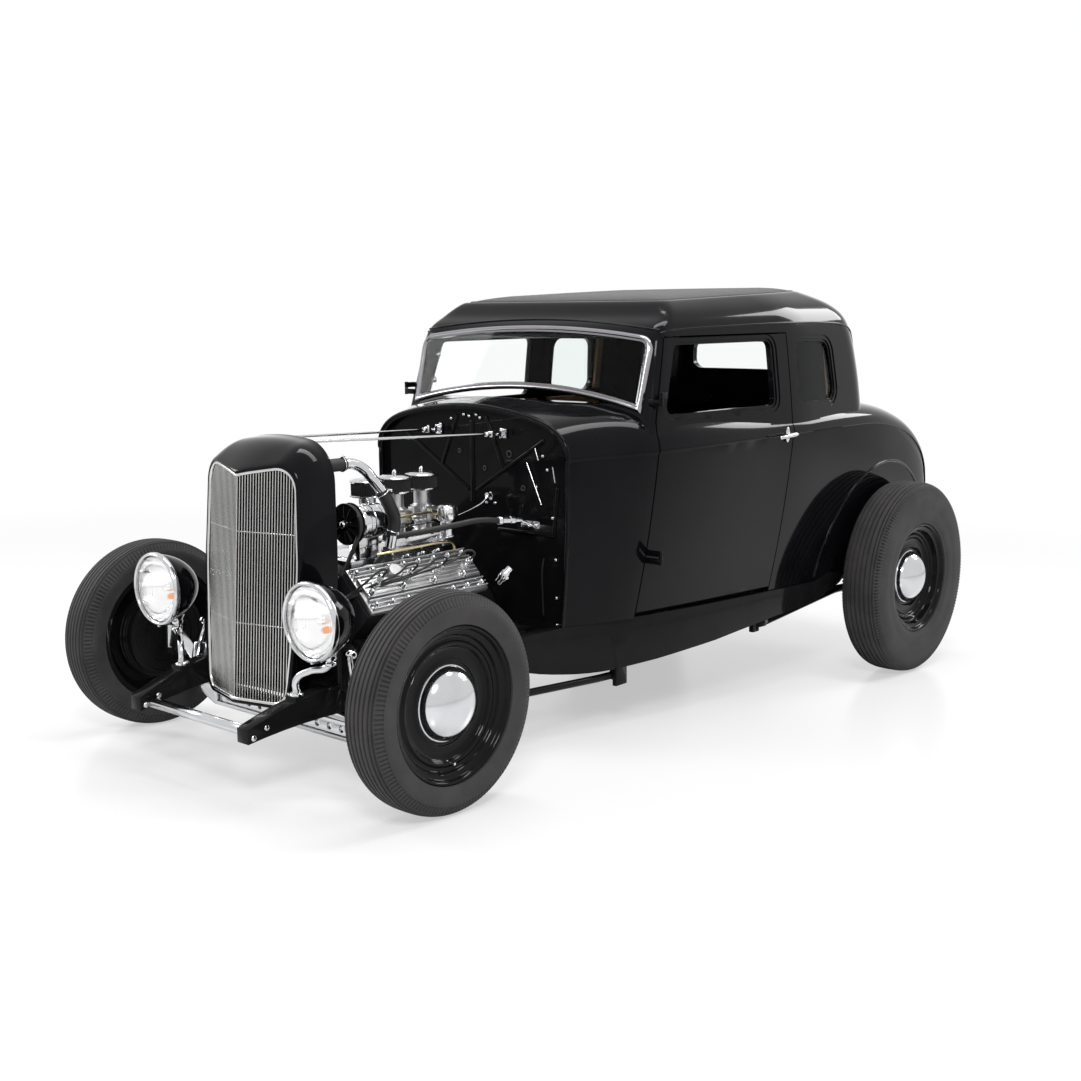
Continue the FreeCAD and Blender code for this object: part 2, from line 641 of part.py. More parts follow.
def water_pumps():
    """Water pump and ignition cap on the front of each bank."""
    front = size("engine_front") - size("seat_gap")
    pump = turned_shape([(0, 0), (0, 50), (18, 49), (30, 36), (46, 30), (48, 0)], (130, front, 392), (0, -1, 0))
    cap = turned_shape([(0, 0), (0, 46), (14, 46), (20, 42), (34, 40), (38, 34), (40, 0)], (150, front, 492),
                       (0, -1, 0))
    node("water_pumps", Part.makeCompound([pump, cap, pump.mirror(V(), X_AXIS), cap.mirror(V(), X_AXIS)]), raked())


def gearbox():
    """Bell housing and gearbox behind the block."""
    start = size("engine_front") + size("engine_length")
    profile = [(-20, 0), (-20, 150), (60, 146), (130, 100), (150, 84), (420, 80), (440, 50), (474, 44), (474, 0)]
    case = turned_shape(profile, (0, start, 395), (0, 1, -0.12))
    case = case.cut(box(-300, 300, start - 100, start + size("seat_gap"), 100, 700))
    node("gearbox", case, raked())


def engine():
    """Everything bolted to the engine."""
    engine_block()
    cylinder_heads()
    intake()
    generator()
    coolant_hoses()
    exhaust()
    water_pumps()
    gearbox()


# ---------------------------------------------------------------- front end

# Outlines of the grille shell from its front lip to its rear edge.
# place, half-width and height of the foot, half-width at mid height,
# half-width and height of the shoulder, crown height, foot and shoulder radius
SHELL_SECTIONS = [
    (-215, 188, 232, 227, 196, 872, 880, 40, 60),
    (-60, 204, 226, 237, 222, 982, 1004, 50, 100),
    (32, 212, 222, 240, 226, 1000, 1028, 60, 130),
]


def shell_solid(inset):
    """Grille shell's outside, or the hollow in it."""
    wires = []
    for place, foot, low, middle, shoulder, high, crown, foot_turn, turn in SHELL_SECTIONS:
        lean = 0.03
        past = math.copysign(20, place) if inset and place != SHELL_SECTIONS[1][0] else 0

        def at(x, z, radius):
            return (x, place + lean * (z - 222) + past, z, radius)

        corners = [at(foot - inset, low + inset, foot_turn), at(middle - inset, 640, 1000),
                   at(shoulder - inset, high - inset, turn - inset * 0.7), at(0, crown - inset, 900)]
        twins = [(-x, y, z, radius) for x, y, z, radius in reversed(corners[:-1])]
        wires.append(rounded(corners + twins))
    return Part.makeLoft(wires, True, False)


def grille_front(back):
    """All that lies ahead of the V-shaped grille face, moved back by a distance."""
    crease, spread = size("grille_foot") + back, 400 * math.tan(math.radians(size("grille_sweep")))
    lean = size("grille_lean")
    low = 100
    start = crease + lean * (low - 253)
    corners = [(0, start, low), (400, start + spread, low), (400, -900, low), (-400, -900, low),
               (-400, start + spread, low)]
    return prism(corners, (0, lean * 1100, 1100))


def grille():
    """Grille shell with its peaked lip, and the V of fine bars in it."""
    sheet_metal = size("shell_wall")
    shell = shell_solid(0).cut([shell_solid(sheet_metal), grille_front(0)])
    notch = box(-300, 300, -62, 120, 100, 312)
    node("grille_shell", shell.cut(notch), raked())
    opening = shell_solid(sheet_metal + size("seat_gap"))
    rim = opening.cut(shell_solid(sheet_metal + 7)).common(grille_front(16).cut(grille_front(3)))
    face = grille_front(12).cut(grille_front(4))
    count, pitch = int(size("bar_count")), (240 - sheet_metal - 12) / size("bar_count")
    uprights = [box(-4, 4, -300, 100, 200, 1000)]
    for i in range(1, count):
        for sign in (1, -1):
            middle, half = sign * i * pitch, size("bar_width") / 2
            uprights.append(box(middle - half, middle + half, -300, 100, 200, 1000))
    bars = opening.common(face).common(Part.makeCompound(uprights))
    wires = [box(-300, 300, -300, 100, z, z + 5) for z in (470, 745)]
    ties = opening.common(grille_front(17).cut(grille_front(9))).common(Part.makeCompound(wires))
    node("grille_bars", fused([rim] + bars.Solids + ties.Solids), raked())
    core = shell_solid(sheet_metal + size("seat_gap")).common(box(-300, 300, -56, 6, 310, 1100))
    node("radiator", core, raked())


def headlamps():
    """Bucket lamps on curved stands, with their lenses."""
    radius, front = size("lamp_radius"), size("lamp_front")
    half, height = size("lamp_spacing"), size("lamp_height")
    bowl = [(0, radius), (8, radius + 2), (16, radius - 2), (40, radius - 8), (80, radius - 22),
            (120, radius - 50), (146, radius - 82), (156, 0), (5, 0), (5, radius - 10), (0, radius - 10)]
    bucket = turned_shape(bowl, (half, front, height), (0, 1, 0))
    foot = size("horn_half_width") - 8
    stand = tube([(foot, -162, 300), (foot, -162, 350), (half, -110, 386), (half, -110, height - 90)], 12, [24, 24])
    flange = rod((foot, -162, 300), (foot, -162, 308), 22)
    node("headlamps", mirrored(fused([bucket, stand, flange])), raked())
    pane = [(-10, 0), (-8, radius * 0.45), (-2, radius * 0.8), (4.7, radius - 10.3), (4.7, 0)]
    lens = turned_shape(pane, (half, front, height), (0, 1, 0))
    node("headlamp_lenses", mirrored(lens), raked())


def hood_rods():
    """Two stay rods from the grille shell to the firewall brackets."""
    stay = rod((95, 56.3, 1004), (155, 837.7, 972), 4.5)
    node("hood_rods", mirrored(stay), raked())


def tail_lamps():
    """Small round lamps on the tail."""
    tail = size("tail_end")
    lamp = turned_shape([(0, 0), (0, 44), (8, 46), (16, 42), (40, 34), (52, 18), (54, 0)],
                        (470, tail + size("seat_gap"), 530), (0, 1, 0))
    node("tail_lamps", mirrored(lamp), raked())


def front_end():
    """Grille, radiator, lamps and stay rods."""
    grille()
    headlamps()
    hood_rods()
    tail_lamps()


# ---------------------------------------------------------------- body shell

# Cross sections of the lower body from the cowl rim to the tail.
# station, half-width at the sill, half-width and height of the belt,
# half-width and height where the top starts, crown height, bulge of the shoulder
STATIONS = [
    (850, 425, 454, 892, 315, 1026, 1064, 40),
    (1145, 500, 603, 905, 500, 1040, 1092, 26),
    (1925, 548, 648, 915, 560, 1000, 1016, 24),
    (2300, 560, 650, 918, 566, 1000, 1016, 24),
    (2600, 566, 642, 908, 530, 992, 1012, 28),
    (2840, 564, 622, 862, 480, 950, 972, 34),
    (3010, 558, 602, 790, 450, 872, 892, 34),
    (3130, 550, 580, 690, 430, 762, 780, 30),
    (3190, 545, 560, 560, 420, 640, 656, 26),
]

# Plan outlines of the upper body from the belt to the rim of the roof opening.
# height at the windshield, rise over the roof's length, front half-width,
# widest half-width and place, rear half-width and place, rear corner radius
LEVELS = [
    (930, 0, 596, 650, 2000, 630, 2552, 130),
    (1130, 0, 580, 630, 2000, 612, 2550, 150),
    (1297, 8, 563, 606, 2000, 586, 2525, 170),
    (1362, 20, 540, 575, 1950, 552, 2450, 180),
    (1403, 33, 492, 520, 1900, 484, 2290, 150),
]


def sill(y):
    """Height of the body's underside, which slopes gently down towards the rear."""
    front, rear = size("sill_front"), size("sill_rear")
    return front + (rear - front) * (y - size("cowl_front")) / size("sill_run")


def windshield_plane(z):
    """Fore and aft place of the pillars' front faces at a height."""
    lean = math.tan(math.radians(size("windshield_lean")))
    header = max(z - size("header_height"), 0)
    return size("windshield_foot") + lean * (z - 930) + header * 0.9


def cross_section(row, inset=0.0):
    """Closed section of the lower body across the car at one station."""
    station, low_half, belt, belt_up, top, top_up, crown, bulge = row
    bottom = sill(station) - (60 if inset else 0)
    low_half, belt, top = low_half - inset, belt - inset, top - inset * 0.8
    top_up, crown = top_up - inset * 0.8, crown - inset
    side_mid = V((low_half + belt) / 2 + 9, station, (bottom + belt_up) / 2)
    run = V(top - belt, 0, top_up - belt_up)
    turn_mid = V((belt + top) / 2, station, (belt_up + top_up) / 2) + V(run.z, 0, -run.x).normalize() * bulge
    low, shoulder, roof = V(low_half, station, bottom), V(belt, station, belt_up), V(top, station, top_up)

    def twin(point):
        return V(-point.x, point.y, point.z)

    return Part.Wire([
        Part.makeLine(twin(low), low),
        Part.Arc(low, side_mid, shoulder).toShape(),
        Part.Arc(shoulder, turn_mid, roof).toShape(),
        Part.Arc(roof, V(0, station, crown), twin(roof)).toShape(),
        Part.Arc(twin(roof), twin(turn_mid), twin(shoulder)).toShape(),
        Part.Arc(twin(shoulder), twin(side_mid), twin(low)).toShape(),
    ])


def level_outline(row, inset=0.0):
    """Closed outline of the upper body at one height, tipped with the roof."""
    height, rise, front, wide, wide_at, rear, rear_at, turn = row
    front_at = windshield_plane(height) + inset
    slope = rise / (size("door_length") + 145)
    sink = inset * 0.9 if rise > 8 else 0

    def up(y):
        return height - sink + slope * (y - size("door_front") - 40)

    half = [(front - inset, front_at, 36), (wide - inset, wide_at, 1800),
            (rear - inset, rear_at - inset, max(turn - inset, 40))]
    bow = [(0, rear_at - inset + 34, 900)]
    other = [(-x, y, radius) for x, y, radius in reversed(half)]
    return rounded([(x, y, up(y), radius) for x, y, radius in half + bow + other])


def lower_solid(inset=0.0):
    """Lower body from the cowl rim to the tail, or the hollow in it."""
    rows = STATIONS
    if inset:
        first, last = rows[0], rows[-1]
        rows = [(first[0] - 40,) + first[1:]] + rows[1:-1] + [(last[0] - inset,) + last[1:]]
    return Part.makeLoft([cross_section(row, inset) for row in rows], True, True)


def upper_solid(inset=0.0):
    """Upper body from the belt to the roof opening, or the hollow in it."""
    return Part.makeLoft([level_outline(row, inset) for row in LEVELS], True, True)


def hinge():
    """Foot of the left door's hinge axis, which stands just outside the skin."""
    return V(size("hinge_half_width"), size("door_front") - 2, 0)


def door_hinge(height, inner, behind):
    """The two leaves of a left hinge; the door's leaf goes in that far behind the barrels."""
    foot, gap = hinge(), size("seat_gap")
    fixed = rod((foot.x, foot.y, height - 24), (foot.x, foot.y, height), 7)
    fixed = fixed.fuse(box(inner, foot.x, foot.y - 9, foot.y - 1, height - 22, height - 2))
    swung = rod((foot.x, foot.y, height + gap), (foot.x, foot.y, height + 24), 7)
    strap = box(foot.x - 6, foot.x, foot.y, foot.y + behind, height + 2, height + 22)
    root = box(inner, foot.x, foot.y + behind, foot.y + behind + 7, height + 2, height + 22)
    return fixed, fused([swung, strap, root])


def lid_hinge():
    """The left hinge of the deck lid: the body's leaf and the lid's leaf."""
    front, up, gap = size("lid_front"), 1012, size("seat_gap")
    fixed = rod((286, front, up), (300, front, up), 7).fuse(box(286, 300, front - 24, front, 996, 1010))
    swung = rod((300 + gap, front, up), (314, front, up), 7)
    swung = swung.fuse(box(300 + gap, 314, front, front + 24, 990, 1010))
    return fixed, swung


def door_handle():
    """Lever handle on a short stem at the left door's rear edge."""
    height = size("handle_height")
    rear = size("door_front") + size("door_length") - 48
    stem = rod((625, rear, height), (684, rear, height), 9)
    lever = rod((680, rear + 8, height), (680, rear - 96, height - 4), 8, 6)
    return stem.fuse(lever)


def door_space(grow):
    """Room of the left door, grown all round by part of the shut line."""
    front, top = size("door_front") - grow, size("door_top") + grow
    bend = 1010
    lean = math.tan(math.radians(size("windshield_lean")))
    low = size("door_bottom")
    rear = size("door_front") + size("door_length") + 60
    drop = (size("sill_rear") - size("sill_front")) / size("sill_run") * (rear - front)
    under = low - (grow + 40 if grow > 0 else grow)
    side = prism([(300, front, under), (300, front, bend), (300, front + lean * (top - bend), top),
                  (300, rear, top), (300, rear, under + drop)], (500, 0, 0))
    reach = size("door_length") + 2 + grow
    foot = hinge()
    return side.common(Part.makeCylinder(reach, 1400, V(foot.x, foot.y, 100)))


def window_hole(corners, radius):
    """Hole through one side for a window; corners are (y, z)."""
    outline = Part.Face(rounded([(300, y, z, radius) for y, z in corners]))
    return outline.extrude(V(500, 0, 0))


def door_window():
    """Hole of the left door's window."""
    low, high = size("window_sill"), size("window_head")
    return window_hole([(1206, low), (1280, high), (1832, high), (1832, low)], 26)


def quarter_window():
    """Hole of the left quarter window."""
    low, high = size("window_sill"), size("window_head") - 4
    return window_hole([(1992, low), (1992, high), (2234, high - 8), (2256, low)], 44)


def lid_space(grow):
    """Room of the deck lid."""
    half = size("lid_half_width") + grow
    front = size("lid_front") - grow
    return box(-half, half, front, 3400, size("lid_bottom") - grow, 1200)


def body_shell():
    """Cowl, doors, rear body, deck lid and roof, split where the real panels meet."""
    wall, thin, gap = size("wall"), size("roof_wall"), size("moving_gap") / 2 + 0.3
    cabin = upper_solid(thin)
    hollow = lower_solid(wall)
    front_hollow = lower_solid(size("cowl_wall")).common(box(-700, 700, 700, 1080, 0, 1300))
    belt = size("belt_height")
    above = box(-800, 800, 900, 2900, belt, 1600)
    upper = upper_solid().common(above)
    roof_hole = level_outline(LEVELS[-1], 24)
    roof_hole = Part.Face(roof_hole).extrude(V(0, 0, 120))
    roof_hole.translate(V(0, 0, -60))
    front_glass = Part.Face(rounded([
        (-512, 1000, 1066, 20), (512, 1000, 1066, 20), (512, 1000, 1284, 20), (-512, 1000, 1284, 20),
    ])).extrude(V(0, 230, 0))
    back_glass = Part.Face(rounded([
        (-250, 2400, 1120, 40), (250, 2400, 1120, 40), (240, 2400, 1236, 40), (-240, 2400, 1236, 40),
    ])).extrude(V(0, 300, 0))
    lower = lower_solid().cut(upper).cut([hollow, front_hollow, cabin])
    upper = upper.cut([cabin, hollow, roof_hole, front_glass, back_glass])
    arch = rod((-800, 2708, 269), (800, 2708, 269), size("arch_radius"))
    arch = arch.cut(box(-300, 300, 2000, 3400, -300, 900))

    low_fixed, low_swung = door_hinge(size("lower_hinge"), 538, 5)
    high_fixed, high_swung = door_hinge(size("upper_hinge"), 566, 30)
    doors, lower_cuts = [], [arch]
    for flip in (False, True):
        room, hole, glass, quarter = door_space(-gap), door_space(gap), door_window(), quarter_window()
        if flip:
            room, hole, glass, quarter = [s.mirror(V(), X_AXIS) for s in (room, hole, glass, quarter)]
        fittings = [door_handle(), low_swung, high_swung]
        if flip:
            fittings = [piece.mirror(V(), X_AXIS) for piece in fittings]
        door = fused([lower.common(room), upper.common(room)]).cut(glass)
        ahead = cabin.translated(V(0, -60, 0))
        door = door.cut([ahead, cabin])
        doors.append(door.fuse([piece.cut([hollow, cabin]) for piece in fittings]))
        upper = upper.cut([hole, quarter])
        lower_cuts.append(hole)
    lower = lower.cut(lower_cuts)
    node("door_left", doors[0], raked())
    node("door_right", doors[1], raked())
    lid_fixed, lid_swung = lid_hinge()
    lid = lower.common(lid_space(-gap))
    node("deck_lid", lid.fuse([lid_swung, lid_swung.mirror(V(), X_AXIS)]), raked())
    split = box(-800, 800, 700, size("door_front") + 40, 0, 1300)
    cowl = lower.common(split)
    node("cowl", cowl.fuse([low_fixed, low_fixed.mirror(V(), X_AXIS)]), raked())
    tail = lower.cut([split, lid_space(gap)])
    node("rear_body", tail.fuse([lid_fixed, lid_fixed.mirror(V(), X_AXIS)]), raked())
    node("roof_shell", upper.fuse([high_fixed, high_fixed.mirror(V(), X_AXIS)]), raked())


def roof_insert():
    """Crowned fabric panel that fills the roof opening."""
    rim = level_outline(LEVELS[-1], 24.3)
    low = rim.copy()
    low.translate(V(0, 0, -12))
    crown = level_outline(LEVELS[-1], 150)
    crown.translate(V(0, 0, 150 * 0.9 + 26))
    edge = rim.copy()
    edge.translate(V(0, 0, 24.3 * 0.9 + 2))
    low.translate(V(0, 0, 24.3 * 0.9))
    panel = Part.makeLoft([low, edge, crown], True, True)
    node("roof_insert", panel, raked())


def windshield():
    """Bright frame on the pillars, its glass, and the quarter and back glass."""
    lean = size("windshield_lean")
    foot = windshield_plane(1033)
    outer = chain([(-545, 0, 1040), ("arc", (0, 0, 1104), (545, 0, 1040)), (551, 0, 1300),
                   ("arc", (0, 0, 1338), (-551, 0, 1300))])
    inner = chain([(-520, 0, 1066), ("arc", (0, 0, 1130), (520, 0, 1066)), (524, 0, 1278),
                   ("arc", (0, 0, 1314), (-524, 0, 1278))])
    ring = Part.Face(outer).extrude(V(0, -16, 0)).cut(Part.Face(inner).extrude(V(0, -16, 0)))
    pane = Part.Face(inner).extrude(V(0, -5, 0))
    pane.translate(V(0, -6, 0))
    place = FreeCAD.Placement(V(0, foot - 0.2, 1033), FreeCAD.Rotation(X_AXIS, -lean))
    for shape in (ring, pane):
        shape.translate(V(0, 0, -1033))
        shape.Placement = place.multiply(shape.Placement)
    node("windshield_frame", ring, raked())
    middle = upper_solid(size("roof_wall") / 2 - 2).cut(upper_solid(size("roof_wall") / 2 + 3))
    side = middle.common(quarter_window())
    back = Part.Face(rounded([
        (-250, 2400, 1120, 40), (250, 2400, 1120, 40), (240, 2400, 1236, 40), (-240, 2400, 1236, 40),
    ])).extrude(V(0, 300, 0))
    panes = [pane, side, side.mirror(V(), X_AXIS), middle.common(back)]
    node("window_glass", Part.makeCompound(panes), raked())


def firewall():
    """Braced bulkhead inside the cowl, with brackets for the hood rods."""
    inset = size("cowl_wall") + size("seat_gap")
    plate = lower_solid(inset).common(box(-700, 700, 872, 880, sill(880) + 8, 1200))
    ribs = []
    for sign in (1, -1):
        for foot, head in (((60, 560), (300, 1000)), ((330, 700), (60, 1020))):
            run = V(sign * (head[0] - foot[0]), 0, head[1] - foot[1])
            rib = box(0, run.Length, -6, 0.5, -7, 7)
            turn = FreeCAD.Rotation(X_AXIS, run)
            rib.Placement = FreeCAD.Placement(V(sign * foot[0], 872, foot[1]), turn)
            ribs.append(rib)
        ribs.append(box(min(sign * 145, sign * 165), max(sign * 145, sign * 165), 838, 872, 960, 984))
    tunnel = rod((0, 860, 346), (0, 900, 346), 110)
    node("firewall", fused([plate] + ribs).cut(tunnel), raked())


def floor_pan():
    """Floor with its tunnel and raised boot floor."""
    inset = size("wall") + size("seat_gap")
    step = 2400
    low = prism([(0, 880.3, sill(880)), (0, step, sill(step)), (0, step, 432), (0, 3140, 432), (0, 3140, 440),
                 (0, step - 8, 440), (0, step - 8, sill(step) + 8), (0, 880.3, sill(880) + 8)], (1200, 0, 0))
    low.translate(V(-600, 0, 0))
    pan = lower_solid(inset).common(low)
    edge = size("well_half_width") - size("seat_gap")
    pan = pan.cut([box(edge, 700, 2200, 3300, 200, 600), box(-700, -edge, 2200, 3300, 200, 600)])
    hump = rod((0, 880.3, 346), (0, step - 8, 300), 120, 74)
    space = rod((0, 870, 346.5), (0, step + 20, 299), 112, 66)
    above = prism([(-200, 880.3, sill(880)), (-200, step, sill(step)), (-200, step, 700), (-200, 880.3, 700)],
                  (400, 0, 0))
    pan = fused([pan, hump.common(above)]).cut(space)
    node("floor_pan", pan, raked())


def wheel_wells():
    """Inner wheel arches behind the openings in the rear body."""
    inner, outer = size("arch_radius"), size("arch_radius") + 8
    half = size("well_half_width")
    ring = rod((half, 2708, 269), (640, 2708, 269), outer).cut(rod((half + 8, 2708, 269), (650, 2708, 269), inner))
    limit = lower_solid(size("wall") + size("seat_gap"))
    above_floor = fused([box(0, 700, 2100, 2392, 306, 900), box(0, 700, 2391, 3300, 441, 900)])
    well = ring.common(limit).common(above_floor)
    node("wheel_wells", mirrored(well.removeSplitter()), raked())


def cabin():
    """Seat, dashboard and steering wheel."""
    rest = 8 + size("seat_gap")
    cushion = prism([(-450, 1690, sill(1690) + rest), (-450, 2140, sill(2140) + rest), (-450, 2140, 470),
                     (-450, 1740, 520), (-450, 1690, 490)], (900, 0, 0))
    cushion = cushion.cut(rod((0, 1600, 330), (0, 2300, 310), 108, 92))
    behind = 2140 + size("seat_gap")
    back = prism([(-450, behind, sill(behind) + rest), (-450, 2270, sill(2270) + rest), (-450, 2330, 900),
                  (-450, 2300, 930), (-450, 2240, 900), (-450, behind, 480)], (900, 0, 0))
    back = back.cut(rod((0, 1600, 330), (0, 2300, 310), 108, 92))
    node("seat", Part.makeCompound([cushion, back]), raked())
    inset = size("wall") + size("seat_gap")
    dash = lower_solid(inset).common(box(-700, 700, 1096, 1136, 850, 990))
    node("dashboard", dash, raked())
    wheel_at, column = V(300, 1500, 880), V(0, 520, 370).normalize()
    rim = Part.makeTorus(195, 11, wheel_at, column)
    spokes = []
    for angle in (90, 210, 330):
        spoke = rod((0, 0, 0), (190, 0, 0), 6)
        turn = FreeCAD.Rotation(Z_AXIS, column).multiply(FreeCAD.Rotation(Z_AXIS, angle))
        spoke.Placement = FreeCAD.Placement(wheel_at, turn)
        spokes.append(spoke)
    hub = Part.makeCylinder(28, 40, wheel_at - column * 20, column)
    node("steering_wheel", fused([rim, hub] + spokes), raked())
    shaft = Part.makeCylinder(19, 800, wheel_at - column * (820 + size("seat_gap")), column)
    node("steering_column", shaft.cut(box(0, 600, 700, 880 + size("seat_gap"), 0, 900)), raked())


def body():
    """Everything that is built on the frame behind the engine."""
    body_shell()
    roof_insert()
    windshield()
    firewall()
    floor_pan()
    wheel_wells()
    cabin()


# ---------------------------------------------------------------- whole car

def centre_on_ground():
    """Move every sub-part so that the origin is under the middle of the car's box."""
    boxes = [piece.Shape.copy() for piece in NODES]
    low = min(shape.optimalBoundingBox(False).YMin for shape in boxes)
    high = max(shape.optimalBoundingBox(False).YMax for shape in boxes)
    back = V(0, -(low + high) / 2, 0)
    for piece in NODES:
        piece.Placement = FreeCAD.Placement(back, FreeCAD.Rotation()).multiply(piece.Placement)
    return back.y


def check_and_export():
    """Stop on any failed object, then write one STEP file for each sub-part."""
    for item in doc.Objects:
        if {"Invalid", "Error"} & set(item.State):
            raise RuntimeError("%s failed: %s" % (item.Label, item.State))
    for piece in NODES:
        if piece.Shape.isNull() or not piece.Shape.isValid() or not piece.Shape.Solids:
            raise RuntimeError("%s has no valid solid" % piece.Label)
    os.makedirs("parts", exist_ok=True)
    for piece in NODES:
        piece.Shape.exportStep(os.path.join("parts", piece.Label + ".step"))


wheels()
chassis()
engine()
front_end()
body()
doc.recompute()
shift = centre_on_ground()
doc.recompute()
check_and_export()
print("nodes", len(NODES), "origin shift", round(shift, 3))
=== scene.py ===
"""Dress of an open-engined coupe: smooth panels, brightwork, rubber, cloth and trim over its fixed frame."""
import sys

import logging
from dataclasses import dataclass, field
from enum import Enum
from math import acos, asin, atan2, cos, exp, hypot, pi, radians, sin, sqrt, tan, tau
from typing import Optional, Sequence, Union

import bpy
from mathutils import Matrix, Vector
from mathutils.bvhtree import BVHTree


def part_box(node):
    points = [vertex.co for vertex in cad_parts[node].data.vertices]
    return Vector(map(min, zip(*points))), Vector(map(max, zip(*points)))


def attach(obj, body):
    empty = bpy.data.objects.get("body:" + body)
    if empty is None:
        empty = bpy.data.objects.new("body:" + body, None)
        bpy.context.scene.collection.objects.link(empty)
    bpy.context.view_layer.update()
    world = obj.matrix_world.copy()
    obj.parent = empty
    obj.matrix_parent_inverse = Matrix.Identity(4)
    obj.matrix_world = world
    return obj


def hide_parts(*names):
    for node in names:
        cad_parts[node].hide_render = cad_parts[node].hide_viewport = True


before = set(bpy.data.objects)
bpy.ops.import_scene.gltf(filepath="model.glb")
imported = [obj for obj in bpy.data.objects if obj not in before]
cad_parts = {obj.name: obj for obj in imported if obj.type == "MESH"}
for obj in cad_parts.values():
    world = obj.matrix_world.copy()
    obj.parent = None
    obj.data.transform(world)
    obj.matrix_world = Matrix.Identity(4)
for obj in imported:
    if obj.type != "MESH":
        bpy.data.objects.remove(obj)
log = logging.getLogger("coupe")
Point = tuple[float, float, float]
Pair = tuple[float, float]
Number = Union[float, "Value"]
Piece = bpy.types.Object
UP, DOWN, AFT, FORE, LEFT = (0, 0, 1), (0, 0, -1), (0, 1, 0), (0, -1, 0), (1, 0, 0)
SIDES = (("left", 1), ("right", -1))
MIRROR = Matrix.Scale(-1, 4, LEFT)


# ---------------------------------------------------------------- stance

@dataclass(frozen=True)
class Stance:
    """Where the car stands: its front axle, and the lean of all that hangs on the springs."""

    rake: float = radians(2.7)

    @property
    def axle_y(self) -> float:
        """Fore and aft place of the front axle in metres."""
        low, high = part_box("wheel_front_left")
        return (low.y + high.y) / 2

    def ground(self) -> Matrix:
        """Millimetres measured from the front axle on the ground, turned into metres."""
        return Matrix.Translation((0, self.axle_y, 0)) @ Matrix.Scale(0.001, 4)

    def sprung(self) -> Matrix:
        """Millimetres in the leaning frame of the body, turned into metres."""
        return Matrix.Translation((0, self.axle_y, 0)) @ Matrix.Rotation(self.rake, 4,
            "X") @ Matrix.Scale(0.001, 4)


STANCE = Stance()
SPRUNG, GROUND = STANCE.sprung(), STANCE.ground()


# ---------------------------------------------------------------- shader maths

class Value:
    """A socket that can be used in sums; each sum adds a Math node."""

    def __init__(self, graph: "Graph", socket: bpy.types.NodeSocket) -> None:
        """Wrap a socket of a graph."""
        self.graph, self.socket = graph, socket

    def __add__(self, other: Number) -> "Value":
        """Sum."""
        return self.graph.add("ShaderNodeMath", {"operation": "ADD"}, {0: self, 1: other})

    def __mul__(self, other: Number) -> "Value":
        """Product."""
        return self.graph.add("ShaderNodeMath", {"operation": "MULTIPLY"}, {0: self, 1: other})

    def over(self, limit: float, width: float = 0.02) -> "Value":
        """Soft step from 0 to 1.

        Args:
            limit: Value where the step stands.
            width: Half the width of its ramp.

        Returns:
            The stepped value.
        """
        return self.graph.add("ShaderNodeMapRange", {"clamp": True}, {0: self, 1: limit - width, 2: limit
            + width, 3: 0, 4: 1})


class Graph:
    """Nodes of one material or world, with a shader ready to be fed."""

    def __init__(self, name: str, owner: Union[bpy.types.Material, bpy.types.World, None] = None) -> None:
        """Start an empty material, or take over a world.

        Args:
            name: Name of the material.
            owner: The world, where there is one.
        """
        self.owner = owner or bpy.data.materials.new(name)
        self.owner.use_nodes = True
        self.tree = self.owner.node_tree
        self.shader = next(node for node in self.tree.nodes if node.type in ("BSDF_PRINCIPLED", "BACKGROUND"))
        self.space = self.add("ShaderNodeTexCoord", {}, {}, "Object")

    def feed(self, socket: bpy.types.NodeSocket, value: object) -> None:
        """Give a socket a number, a colour or a link.

        Args:
            socket: The socket.
            value: What it is given.
        """
        if isinstance(value, Value):
            self.tree.links.new(value.socket, socket)
        elif isinstance(value, tuple) and len(value) == 3 and socket.type == "RGBA":
            socket.default_value = (*value, 1)
        else:
            socket.default_value = value

    def add(self, kind: str, settings: dict[str, object], inputs: dict[object, object],
            output: Union[int, str] = 0) -> Value:
        """Add any node.

        Args:
            kind: Node type.
            settings: Properties set before the sockets.
            inputs: Socket name or number to its value or link.
            output: The socket that is wanted.

        Returns:
            The output as a value.
        """
        node = self.tree.nodes.new(kind)
        for key, setting in settings.items():
            setattr(node, key, setting)
        for key, value in inputs.items():
            self.feed(node.inputs[key], value)
        return Value(self, node.outputs[output])

    def noise(self, scale: float, detail: float = 3.0, stretch: Point = (1.0, 1.0, 1.0)) -> Value:
        """Cloudy pattern in object space.

        Args:
            scale: Clouds to the metre.
            detail: Octaves.
            stretch: Scale along each axis.

        Returns:
            Value from 0 to 1.
        """
        space = self.space
        if stretch != (1, 1, 1):
            space = self.add("ShaderNodeMapping", {}, {"Vector": space, "Scale": stretch})
        return self.add("ShaderNodeTexNoise", {}, {"Vector": space, "Scale": scale, "Detail": detail}, "Fac")

    def blend(self, factor: Number, first: object, second: object) -> Value:
        """Mix of two colours."""
        return self.add("ShaderNodeMix", {"data_type": "RGBA"}, {0: factor, 6: first, 7: second}, 2)

    def bump(self, height: Value, strength: float, distance: float) -> None:
        """Feed the shader's normal from a height."""
        self.set(Normal=self.add("ShaderNodeBump", {}, {"Height": height, "Strength": strength,
            "Distance": distance}))

    def set(self, **sockets: object) -> None:
        """Give the shader's sockets their values; underscores stand for spaces."""
        for name, value in sockets.items():
            self.feed(self.shader.inputs[name.replace("_", " ")], value)


# ---------------------------------------------------------------- finishes

class Sheen(Enum):
    """How far a surface was worked: the roughness that it ends with."""

    MIRROR = 0.04
    GLOSS = 0.09
    SATIN = 0.32
    DULL = 0.62


